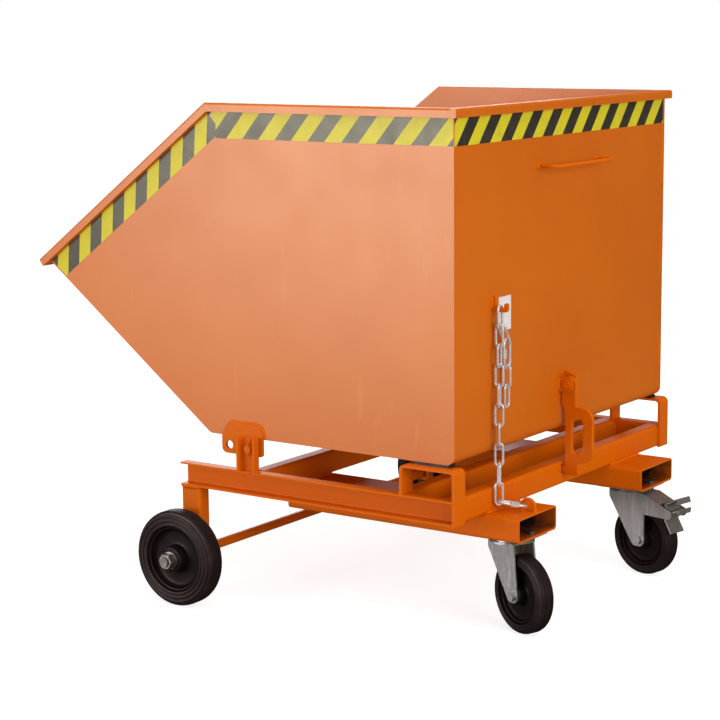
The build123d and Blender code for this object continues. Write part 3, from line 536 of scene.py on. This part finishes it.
for name in ("castor_fork_left", "castor_fork_right", "brake_pedal"):
    fork = nodes[name]
    joined = fork.modifiers.new("joined", "WELD")
    joined.merge_threshold = SAME_PLACE
    rolled = fork.modifiers.new("rolled", "BEVEL")
    rolled.width = ROLLED_EDGE
    rolled.segments = ROLLED_STEPS
    rolled.limit_method = "ANGLE"
    rolled.angle_limit = ROLLED_FROM
    smooth = fork.modifiers.new("smooth", "WEIGHTED_NORMAL")
    smooth.keep_sharp = False
    print("rolled the edges of", name)

# %% [markdown]
# A moulded tyre isn't a plain ring: its sidewall carries low concentric ribs, its shoulder is round, and
# the rim inside it is dished. All of that is turned, so one outline spun about the axle gives it. The
# outline is drawn coarsely and its corners are then cut off twice, which rounds every rib without listing
# many points.

# %% Turning helpers
X, Y, Z = Vector((1, 0, 0)), Vector((0, 1, 0)), Vector((0, 0, 1))
MM_PER_M = 1000


def rounded(outline, rounds=2):
    """Cuts the corners of a closed outline, each time at a quarter of each side."""
    for _ in range(rounds):
        softer = []
        for (r0, a0), (r1, a1) in zip(outline, outline[1:] + outline[:1]):
            softer.append((0.75 * r0 + 0.25 * r1, 0.75 * a0 + 0.25 * a1))
            softer.append((0.25 * r0 + 0.75 * r1, 0.25 * a0 + 0.75 * a1))
        outline = softer
    return outline


def both_sides(half_outline):
    """A closed outline from its outer half: the same points mirrored on the inner side."""
    return half_outline + [(r, -a) for r, a in reversed(half_outline)]


def turned_mesh(name, outline, centre, axis, segments=128, flats=None):
    """Spins a closed outline of (radius, along) in mm about an axis; flats limits it to a hexagon."""
    axis = axis.normalized()
    across = Z.cross(axis).normalized()
    up = axis.cross(across)
    shape = bmesh.new()
    rings = []
    for step in range(segments):
        angle = 2 * math.pi * step / segments
        outwards = across * math.cos(angle) + up * math.sin(angle)
        limit = math.inf
        if flats:
            limit = flats / 2 / math.cos(angle % (math.pi / 3) - math.pi / 6)
        offsets = [outwards * min(r, limit) + axis * a for r, a in outline]
        rings.append([shape.verts.new(centre + offset / MM_PER_M) for offset in offsets])
    for ring, following in zip(rings, rings[1:] + rings[:1]):
        for i in range(len(outline)):
            j = (i + 1) % len(outline)
            shape.faces.new((ring[i], ring[j], following[j], following[i]))
    bmesh.ops.recalc_face_normals(shape, faces=shape.faces)
    mesh = bpy.data.meshes.new(name)
    shape.to_mesh(mesh)
    shape.free()
    return mesh


def new_piece(name, mesh, material, body, smooth_angle=None):
    """An object in the CAD model's frame that rides on a body; edges up to the angle look round."""
    mesh.materials.append(material)
    if smooth_angle is not None:
        mesh.shade_smooth()
        mesh.set_sharp_from_angle(angle=math.radians(smooth_angle))
    piece = bpy.data.objects.new(name, mesh)
    scene.collection.objects.link(piece)
    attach(piece, body)
    return piece


# %% Tyres and rims
WHEEL_SMOOTH = 60

# Outer halves of the outlines, as (radius, distance from the wheel's middle) in mm.
FRONT_TYRE = [(70, 17), (70.2, 23.4), (72.5, 25), (75.5, 25), (76.6, 22.6), (79.4, 22.6), (80.6, 25),
              (84, 25), (85.4, 22.2), (88.6, 22.2), (90, 24.4), (93.4, 23.6), (94, 19.8), (97, 19.6),
              (101, 16), (102, 10.6), (102, 9), (100.4, 8.8), (100.4, 7.2), (102, 7), (102, 3)]
FRONT_RIM = [(15, 30), (24.5, 30), (27, 28), (27, 9), (30, 5), (50, 5), (58.5, 6.4), (62.6, 13),
             (64, 19), (70, 19)]
CASTOR_TYRE = [(60, 13), (60.2, 18.6), (62, 20), (64.4, 20), (65.4, 18), (67.8, 18), (69, 20),
               (71.6, 19.6), (72.4, 16.6), (75, 16.4), (78.6, 13.4), (80, 9), (80, 7.4), (78.6, 7.2),
               (78.6, 5.8), (80, 5.6), (80, 2)]
CASTOR_RIM = [(6.05, 23.7), (16.5, 23.7), (19, 22), (19, 8), (22, 5), (44, 5), (50.5, 6), (53, 10),
              (54, 14), (60, 14)]

spins = {joint["name"]: (Vector(joint["pos_m"]), Vector(joint["axis"])) for joint in frame["joints"]}
for wheel, tyre, rim in (("front", FRONT_TYRE, FRONT_RIM), ("castor", CASTOR_TYRE, CASTOR_RIM)):
    for side in ("left", "right"):
        centre, axis = spins[wheel + "_spin_" + side]
        body = wheel + "_wheel_" + side
        mesh = turned_mesh(wheel + "_ribbed_tyre_" + side, rounded(both_sides(tyre)), centre, axis)
        piece = new_piece(mesh.name, mesh, tyre_rubber, body, WHEEL_SMOOTH)
        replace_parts(piece, wheel + "_tyre_" + side)
        mesh = turned_mesh(wheel + "_dished_rim_" + side, rounded(both_sides(rim)), centre, axis)
        piece = new_piece(mesh.name, mesh, rim_plastic, body, WHEEL_SMOOTH)
        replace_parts(piece, wheel + "_rim_" + side)
        print("turned", piece.name, "at", [round(v, 3) for v in centre])

# %% [markdown]
# A real nut has its corners turned off at both faces, which leaves the curved edges that make it look
# like a nut and not a prism. The same turning helper does it: it spins the chamfered outline, and each
# point that would stick out of the hexagon is pulled back onto it.

# %% Axle nuts
NUT_SEGMENTS = 72
NUT_SMOOTH = 30

# Sizes in mm. The inner face lies on the washer.
NUT_FLATS = 30.0
NUT_BORE = 10.0
INNER_THREAD, OUTER_THREAD = 0.8, 1.2
INNER_CORNER, OUTER_CORNER = 1.3, 1.6
FACE_STEP = 0.2

low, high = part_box("axle_nuts")
nut_height = MM_PER_M * (high.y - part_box("axle_washers")[1].y)
corner = NUT_FLATS / 2 / math.cos(math.pi / 6)
nut_outline = [(NUT_BORE, INNER_THREAD), (NUT_BORE + INNER_THREAD, 0),
               (NUT_FLATS / 2 + FACE_STEP, 0), (corner, INNER_CORNER),
               (corner, nut_height - OUTER_CORNER), (NUT_FLATS / 2 - FACE_STEP, nut_height),
               (NUT_BORE + OUTER_THREAD, nut_height), (NUT_BORE, nut_height - OUTER_THREAD)]
nut_pair = bmesh.new()
for sign in (-1, 1):
    seat = Vector(((low.x + high.x) / 2, sign * (high.y - nut_height / MM_PER_M), (low.z + high.z) / 2))
    nut_pair.from_mesh(turned_mesh("nut", nut_outline, seat, Y * sign, NUT_SEGMENTS, NUT_FLATS))
mesh = bpy.data.meshes.new("chamfered_axle_nuts")
nut_pair.to_mesh(mesh)
nut_pair.free()
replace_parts(new_piece(mesh.name, mesh, worn_zinc, "frame", NUT_SMOOTH), "axle_nuts")
print("nuts", round(nut_height, 1), "mm high")

# %% [markdown]
# Warning tape is a thin printed film. Its stripes could be painted by a material, but they are cleaner as
# geometry: each stripe is a slanted piece of the film, cut to the strip's outline, so that its edges stay
# sharp at any distance. The film is a quarter of a millimetre thick and lies on the wall.

# %% Tape film
TAPE_SHEEN = (1.0, 0.94, 0.72, 1)
CREASED = (1, 1, 0.3)


def tape_film(name, light, dark, gloss):
    """Printed plastic film with faint creases and grime."""
    material, tree, shader = new_material(name)
    set_gloss(shader, gloss, TAPE_SHEEN)
    place = object_place(tree)
    blotches = noise(tree, place, cells=42.0, detail=5, roughness=0.62)
    grime = spread(tree, blotches, 0, 1, from_low=0.45, from_high=0.8)
    tree.links.new(mix_colours(tree, grime, light, dark), shader.inputs["Base Color"])
    set_roughness(tree, shader, noise(tree, place, cells=25.0, detail=3), 0.30, 0.42)
    creases = noise(tree, stretched(tree, place, CREASED), cells=70.0, detail=3)
    bump(tree, shader, creases, strength=0.10, distance=0.0012)
    return material


tape_yellow = tape_film("tape_yellow", (0.66, 0.56, 0.022, 1), (0.56, 0.47, 0.030, 1), gloss=0.10)
tape_black = tape_film("tape_black", (0.036, 0.032, 0.025, 1), (0.060, 0.052, 0.040, 1), gloss=0.20)
print("made", tape_yellow.name, tape_black.name)

# %% Cutting and laying helpers
FILM = 0.00025
STRIPE_PERIOD = 0.0815
STRIPE_LEAN = 0.85
SAME_CORNER = 0.000001


def cut(polygon, point, normal):
    """The part of a convex polygon on the far side of a line, the way its normal points."""
    kept = []
    for (u0, v0), (u1, v1) in zip(polygon, polygon[1:] + polygon[:1]):
        d0 = (u0 - point[0]) * normal[0] + (v0 - point[1]) * normal[1]
        d1 = (u1 - point[0]) * normal[0] + (v1 - point[1]) * normal[1]
        if d0 >= 0:
            kept.append((u0, v0))
        if d0 * d1 < 0:
            t = d0 / (d0 - d1)
            kept.append((u0 + t * (u1 - u0), v0 + t * (v1 - v0)))
    return kept


def lay_tape(film, origin, along, up, outline, yellow):
    """Adds the stripes of one convex strip. They lean forward along it, and yellow starts at a point."""
    yellow_start, top = yellow
    lowest = min(v for _, v in outline)
    first = min(u for u, _ in outline)
    last = max(u for u, _ in outline)
    half_period = STRIPE_PERIOD / 2
    start = math.floor((first - yellow_start) / half_period) - 1
    end = math.ceil((last - yellow_start + STRIPE_LEAN * (top - lowest)) / half_period) + 1
    for index in range(start, end):
        left = (yellow_start + index * half_period, top)
        right = (yellow_start + (index + 1) * half_period, top)
        stripe = cut(outline, left, (1, -STRIPE_LEAN))
        if stripe:
            stripe = cut(stripe, right, (-1, STRIPE_LEAN))
        if len(stripe) < 3:
            continue
        corners = [film.verts.new(origin + along * u + up * v) for u, v in stripe]
        face = film.faces.new(corners)
        face.material_index = index % 2


def tape_piece(name, film, outwards):
    """Makes one strip of film, facing outwards, as a thin sheet on the skip."""
    bmesh.ops.remove_doubles(film, verts=film.verts, dist=SAME_CORNER)
    for face in film.faces:
        face.normal_update()
        if face.normal.dot(outwards) < 0:
            face.normal_flip()
    mesh = bpy.data.meshes.new(name)
    film.to_mesh(mesh)
    film.free()
    piece = new_piece(name, mesh, tape_yellow, "skip")
    mesh.materials.append(tape_black)
    sheet = piece.modifiers.new("film", "SOLIDIFY")
    sheet.thickness = FILM
    sheet.offset = -1
    print("laid", name, len(mesh.polygons), "stripes")


# %% [markdown]
# The skip carries the tape under its rim: along the left wall, down the slanted edge to the lip, across
# the rear wall and, though the photograph doesn't show it, along the right wall in the same way. At the
# upper front corner the slanted strip runs on under the level one, whose end is folded to a point.

# %% Outline of the slanted strip
REAR_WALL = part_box("skip_shell")[1].x
RIM_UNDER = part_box("rim_rear")[0].z
TAPE_TOP = RIM_UNDER - 0.0005

# Corners of the side wall: the upper front one, the lip and the front end of the bottom.
CORNER = Vector((REAR_WALL - 0.594, 0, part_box("skip_side_left")[1].z))
LIP = Vector((REAR_WALL - 1.055, 0, 0.710))
BOTTOM = Vector((REAR_WALL - 0.602, 0, 0.364))

# Measures along the slanted edge from the lip, and up from that edge.
SLANTED_LENGTH = 0.640
SLANTED_LOW, SLANTED_TOP = -0.0675, -0.0185
LIP_GAP = 0.004
RUN_UNDER = 0.022

edge = (CORNER - LIP).normalized()
edge_up = Vector((-edge.z, 0, edge.x))
slope = (BOTTOM - LIP).normalized()
slope_in = (slope.dot(edge), slope.dot(edge_up))
rise = TAPE_TOP - LIP.z
reach = CORNER.x + RUN_UNDER - LIP.x
slanted = [(0, SLANTED_LOW), (SLANTED_LENGTH, SLANTED_LOW),
           (SLANTED_LENGTH, SLANTED_TOP), (0, SLANTED_TOP)]
slanted = cut(slanted, (LIP_GAP, 0), (-slope_in[1], slope_in[0]))
slanted = cut(slanted, (rise * edge.z, rise * edge_up.z), (-edge.z, -edge_up.z))
slanted = cut(slanted, (reach * edge.x, reach * edge_up.x), (-edge.x, -edge_up.x))
print("slanted strip has", len(slanted), "corners")

# %% Tape on the side walls
SIDES = (("left", -1), ("right", 1))
SIDE_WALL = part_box("skip_side_right")[1].y

# How many films the level strip's face stands off the wall, as it lies over the slanted one.
OVER_FILM = 2.2

# Places along X from the rear wall, and heights.
TAPE_LOW = 0.9800
STRIP_FRONT, STRIP_REAR = -0.572, -0.0015
FOLD_TIP, FOLD_LOW = -0.594, 1.009

# Where a yellow stripe starts, along each strip and up it.
SLANTED_YELLOW = (0.0305, -0.020)
LEVEL_YELLOW = (-0.5005, 1.032)

strip = [(STRIP_FRONT, TAPE_LOW), (STRIP_REAR, TAPE_LOW), (STRIP_REAR, TAPE_TOP), (STRIP_FRONT, TAPE_TOP)]
fold = [(FOLD_TIP, TAPE_TOP), (STRIP_FRONT, FOLD_LOW), (STRIP_FRONT, TAPE_TOP)]
for side, sign in SIDES:
    outwards = Y * sign
    wall = outwards * SIDE_WALL
    film = bmesh.new()
    lay_tape(film, LIP + wall + outwards * FILM, edge, edge_up, slanted, SLANTED_YELLOW)
    tape_piece("slanted_tape_" + side, film, outwards)
    film = bmesh.new()
    place = X * REAR_WALL + wall + outwards * FILM * OVER_FILM
    for outline in (strip, fold):
        lay_tape(film, place, X, Z, outline, LEVEL_YELLOW)
    tape_piece("level_tape_" + side, film, outwards)

# %% Tape on the rear wall
# Places along Y, and heights.
REAR_START, REAR_END = -0.4375, 0.4315
REAR_SKEW = 0.0005
REAR_YELLOW = (-0.4305, 1.029)

rear_strip = [(REAR_START, TAPE_LOW), (REAR_END, TAPE_LOW + REAR_SKEW),
              (REAR_END, TAPE_TOP), (REAR_START, TAPE_TOP)]
film = bmesh.new()
lay_tape(film, X * (REAR_WALL + FILM), Y, Z, rear_strip, REAR_YELLOW)
tape_piece("rear_tape", film, X)

# %% [markdown]
# Steel frames are held together by welds, and under paint a weld still shows as a rippled bead in the
# corner between two pieces. Each bead here follows a short line or ring: at every step it has a toe on
# each piece and a crown between them, and the crown's height goes up and down with the ripples. The leg
# of a weld is the distance from the corner to a toe.

# %% Weld bead helper
RIPPLE = 0.0042
RIPPLE_SHARE = 0.13
UNEVEN_SHARE = 0.05
END_SHARE, END_GROWTH = 0.35, 0.22
ROOT_DEPTH = 0.25
SHOULDER = 0.62
random.seed(7)


def lay_bead(shape, path, closed=False):
    """Adds one bead. Each path item is a point with the toes and the crown as vectors from it."""
    rings = []
    travelled = 0.0
    count = len(path)
    for index, (point, toe_a, toe_b, crown) in enumerate(path):
        if index:
            travelled += (point - path[index - 1][0]).length
        ripple = RIPPLE_SHARE * math.sin(2 * math.pi * travelled / RIPPLE)
        swell = 1 + ripple + random.uniform(-UNEVEN_SHARE, UNEVEN_SHARE)
        if not closed:
            from_end = min(index, count - 1 - index)
            swell *= min(1.0, END_SHARE + END_GROWTH * from_end)
        shoulder_a, shoulder_b = (toe * SHOULDER + crown * SHOULDER for toe in (toe_a, toe_b))
        ring = [shape.verts.new(point - crown * ROOT_DEPTH)]
        for offset in (toe_a, shoulder_a, crown, shoulder_b, toe_b):
            ring.append(shape.verts.new(point + offset * swell))
        rings.append(ring)
    size = len(rings[0])
    following = rings[1:] + rings[:1] if closed else rings[1:]
    for ring, after in zip(rings, following):
        for i in range(size):
            j = (i + 1) % size
            shape.faces.new((ring[i], ring[j], after[j], after[i]))
    if not closed:
        shape.faces.new(rings[0])
        shape.faces.new(list(reversed(rings[-1])))


# %% Weld path helpers
BEAD_STEP = 0.0010
LEAST_STEPS = 8
FULLNESS = 0.60


def fillet(point, toe_a, toe_b):
    """One step of a fillet weld: the crown lies between the toes."""
    return point, toe_a, toe_b, (toe_a + toe_b) * FULLNESS


def line_points(start, end):
    """Points along a line, a bead step apart, with both ends."""
    start, end = Vector(start), Vector(end)
    steps = max(LEAST_STEPS, round((end - start).length / BEAD_STEP))
    return [start.lerp(end, i / steps) for i in range(steps + 1)]


def seam(start, end, normal_a, normal_b, leg):
    """A straight fillet weld in the corner between two faces with these normals."""
    return [fillet(point, normal_a * leg, normal_b * leg) for point in line_points(start, end)]


def flat_seam(start, end, across, outwards, half_width, height):
    """A low bead along a joint in one plane."""
    toe, crown = across * half_width, outwards * height
    return [(point, toe, -toe, crown) for point in line_points(start, end)]


def edge_seam(corners, wall_normal, leg):
    """A fillet weld along a plate's edge, from corner to corner, on a wall with this normal."""
    path = []
    middle = sum(corners, Vector()) / len(corners)
    for start, end in zip(corners, corners[1:]):
        away = (end - start).cross(wall_normal).normalized()
        if away.dot((start + end) / 2 - middle) < 0:
            away = -away
        steps = max(1, round((end - start).length / BEAD_STEP))
        points = [start.lerp(end, i / steps) for i in range(steps)]
        path += [fillet(point, away * leg, wall_normal * leg) for point in points]
    return path


def ring_seam(centre, axis, radius, leg):
    """A fillet weld round a bar that stands on a face."""
    centre = Vector(centre)
    across = Vector((axis.y, axis.z, axis.x))
    over = axis.cross(across)
    steps = round(2 * math.pi * radius / BEAD_STEP)
    path = []
    for i in range(steps):
        angle = 2 * math.pi * i / steps
        outwards = across * math.cos(angle) + over * math.sin(angle)
        path.append(fillet(centre + outwards * radius, outwards * leg, axis * leg))
    return path


# %% Weld piece helper
BEAD_SMOOTH = 70


def weld_piece(name, body, seams, rings):
    """All the beads of one body, as one painted piece."""
    shape = bmesh.new()
    for path in seams:
        lay_bead(shape, path)
    for path in rings:
        lay_bead(shape, path, closed=True)
    bmesh.ops.recalc_face_normals(shape, faces=shape.faces)
    mesh = bpy.data.meshes.new(name)
    shape.to_mesh(mesh)
    shape.free()
    new_piece(name, mesh, frame_paint, body, BEAD_SMOOTH)
    print("welded", name, len(seams) + len(rings), "beads")


# %% [markdown]
# On the skip, a bead runs round the free edge of each trunnion plate. Shorter ones hold the catch lugs,
# the chain hook and the handle to the rear wall, and three flat runs join that wall to the right side.
# The lugs stand close together, so the beads between them are the thinner ones. Each kind of piece has
# its own short function, which takes its places from the CAD piece's box.

# %% Beads of the trunnion plates
PLATE_SLANT = 0.021
PLATE_SHOULDER = 0.018
PLATE_LEG = 0.0042
skip_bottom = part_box("skip_side_left")[0].z


def plate_seam(side, sign):
    """A bead up a plate's slanted edge, along its top, over its shoulder and down."""
    low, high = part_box("trunnion_plate_" + side)
    y = sign * SIDE_WALL
    shoulder = Vector((high.x - PLATE_SHOULDER, y, high.z - PLATE_SHOULDER))
    corners = [Vector((low.x, y, skip_bottom)), Vector((low.x + PLATE_SLANT, y, high.z))]
    for degrees in range(90, 0, -10):
        angle = math.radians(degrees)
        corners.append(shoulder + PLATE_SHOULDER * (X * math.cos(angle) + Z * math.sin(angle)))
    corners.append(Vector((high.x, y, skip_bottom)))
    return edge_seam(corners, Y * sign, PLATE_LEG)


# %% Beads of the catch lugs and the chain hook
LUG_SHEET = 0.006
LUG_INSET = 0.002
LOW_LUG_WELD = 0.028
LUG_LEG, LUG_INNER_LEG = 0.004, 0.0022
HOOK_LOW_INSET, HOOK_TOP_INSET = 0.006, 0.001
HOOK_LEG = 0.0034


def upright_seam(y, way, foot, top, leg):
    """An upright bead on the rear wall, at the side of a plate that faces this way along Y."""
    return seam((REAR_WALL, y, foot), (REAR_WALL, y, top), Y * way, X, leg)


def lug_seams():
    """Beads on both sides of both lugs; the left lug's are shorter."""
    low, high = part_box("catch_lugs")
    foot, low_top, high_top = low.z + LUG_INSET, low.z + LOW_LUG_WELD, high.z - LUG_INSET
    return [upright_seam(low.y, -1, foot, low_top, LUG_LEG),
            upright_seam(low.y + LUG_SHEET, 1, foot, low_top, LUG_INNER_LEG),
            upright_seam(high.y - LUG_SHEET, -1, foot, high_top, LUG_INNER_LEG),
            upright_seam(high.y, 1, foot, high_top, LUG_LEG)]


def hook_seams():
    """Beads on both sides of the chain hook."""
    low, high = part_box("chain_hook")
    foot, top = low.z + HOOK_LOW_INSET, high.z - HOOK_TOP_INSET
    return [upright_seam(y, way, foot, top, HOOK_LEG) for y, way in ((low.y, -1), (high.y, 1))]


# %% Welds on the skip
HANDLE_LEG = 0.0040
CORNER_Y = 0.4300
CORNER_RUNS = ((0.434, 0.492), (0.641, 0.755), (0.845, 0.968))
CORNER_HALF_WIDTH, CORNER_HEIGHT = 0.0042, 0.0020

seams = [plate_seam(side, sign) for side, sign in SIDES] + lug_seams() + hook_seams()
for foot, top in CORNER_RUNS:
    start, end = (REAR_WALL, CORNER_Y, foot), (REAR_WALL, CORNER_Y, top)
    seams.append(flat_seam(start, end, Y, X, CORNER_HALF_WIDTH, CORNER_HEIGHT))
low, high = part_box("push_handle")
bar = (high.z - low.z) / 2
rings = []
for y in (low.y + bar, high.y - bar):
    rings.append(ring_seam((REAR_WALL, y, low.z + bar), X, bar, HANDLE_LEG))
weld_piece("skip_welds", "skip", seams, rings)

# %% [markdown]
# On the frame, the posts and rest loops stand on the side beams, the legs hang from them, and the cross
# members run between them and over the fork tubes. Each bead stops a little short of the piece's edge, as
# a welder's does.

# %% Beads of the posts and rest loops
FRAME_LEG = 0.0045
BEAM_INSET = 0.001
POST_INSET, POST_GAP = 0.004, 0.001
LOOP_GAP = 0.002
beam_low, beam_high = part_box("side_beam_left")
beam_web = -beam_high.y
beam_edge = abs(beam_low.y) - BEAM_INSET


def post_seams(side, sign):
    """Beads on the inner face and on both edges of a pivot post."""
    low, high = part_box("pivot_post_" + side)
    inner = min(abs(low.y), abs(high.y))
    start = (low.x + POST_INSET, sign * inner, low.z)
    end = (high.x - POST_INSET, sign * inner, low.z)
    found = [seam(start, end, -Y * sign, Z, FRAME_LEG)]
    for x, way in ((low.x, -1), (high.x, 1)):
        start, end = (x, sign * (inner + POST_GAP), low.z), (x, sign * beam_edge, low.z)
        found.append(seam(start, end, X * way, Z, FRAME_LEG))
    return found


def loop_seam(side, sign):
    """A bead at the front foot of a rest loop."""
    low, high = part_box("rest_loop_" + side)
    start = (low.x, sign * (beam_web + LOOP_GAP), beam_high.z)
    return seam(start, (low.x, sign * beam_edge, beam_high.z), -X, Z, FRAME_LEG)


# %% Beads of the legs and cross members
FRONT_LEG_INSET = 0.003
MEMBER_INSET = 0.008
FLANGE_BACK = 0.004
TUBE_INSET = 0.010
TUBE_LEG = 0.0055
tube_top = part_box("fork_tube_left")[1].z


def leg_seam(side, sign):
    """A bead along the top of a front leg, under its beam."""
    low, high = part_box("front_leg_" + side)
    face = sign * max(abs(low.y), abs(high.y))
    start, end = (low.x + FRONT_LEG_INSET, face, high.z), (high.x - FRONT_LEG_INSET, face, high.z)
    return seam(start, end, Y * sign, -Z, FRAME_LEG)


def member_seams(side, sign):
    """Beads of the three cross members, on a beam's web and on the fork tube beside it."""
    found = []
    web = sign * beam_web
    tube_low, tube_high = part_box("fork_tube_" + side)
    for member in ("front", "middle", "rear"):
        low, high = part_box(member + "_cross_member")
        start, end = (high.x, web, low.z + MEMBER_INSET), (high.x, web, high.z - MEMBER_INSET)
        found.append(seam(start, end, X, -Y * sign, FRAME_LEG))
        x = high.x - FLANGE_BACK
        start, end = (x, tube_low.y + TUBE_INSET, tube_top), (x, tube_high.y - TUBE_INSET, tube_top)
        found.append(seam(start, end, X, Z, TUBE_LEG))
    return found


# %% Welds on the frame
EYE_RADIUS = 0.004
EYE_LEG = 0.0028

seams = []
for side, sign in SIDES:
    seams += post_seams(side, sign)
    seams += [loop_seam(side, sign), leg_seam(side, sign)]
    seams += member_seams(side, sign)
low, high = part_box("chain_eye")
rings = []
for x in (low.x + EYE_RADIUS, high.x - EYE_RADIUS):
    rings.append(ring_seam((x, (low.y + high.y) / 2, tube_top), Z, EYE_RADIUS, EYE_LEG))
weld_piece("frame_welds", "frame", seams, rings)

# %% [markdown]
# The safety chain hangs from the hook on the skip to the eye on the frame. Before the skip is tipped, the
# chain is unhooked and falls on the fork tube. A copy of the CAD chain stands for it here and rides on
# the frame.

# %% Safety chain
chain = bpy.data.objects.new("hanging_chain", nodes["safety_chain"].data.copy())
scene.collection.objects.link(chain)
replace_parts(chain, "safety_chain")
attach(chain, "frame")
chain_low, chain_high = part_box("safety_chain")
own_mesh(chain)
print("chain", round(MM_PER_M * (chain_high.z - chain_low.z)), "mm long, foot at", round(chain_low.z, 4))
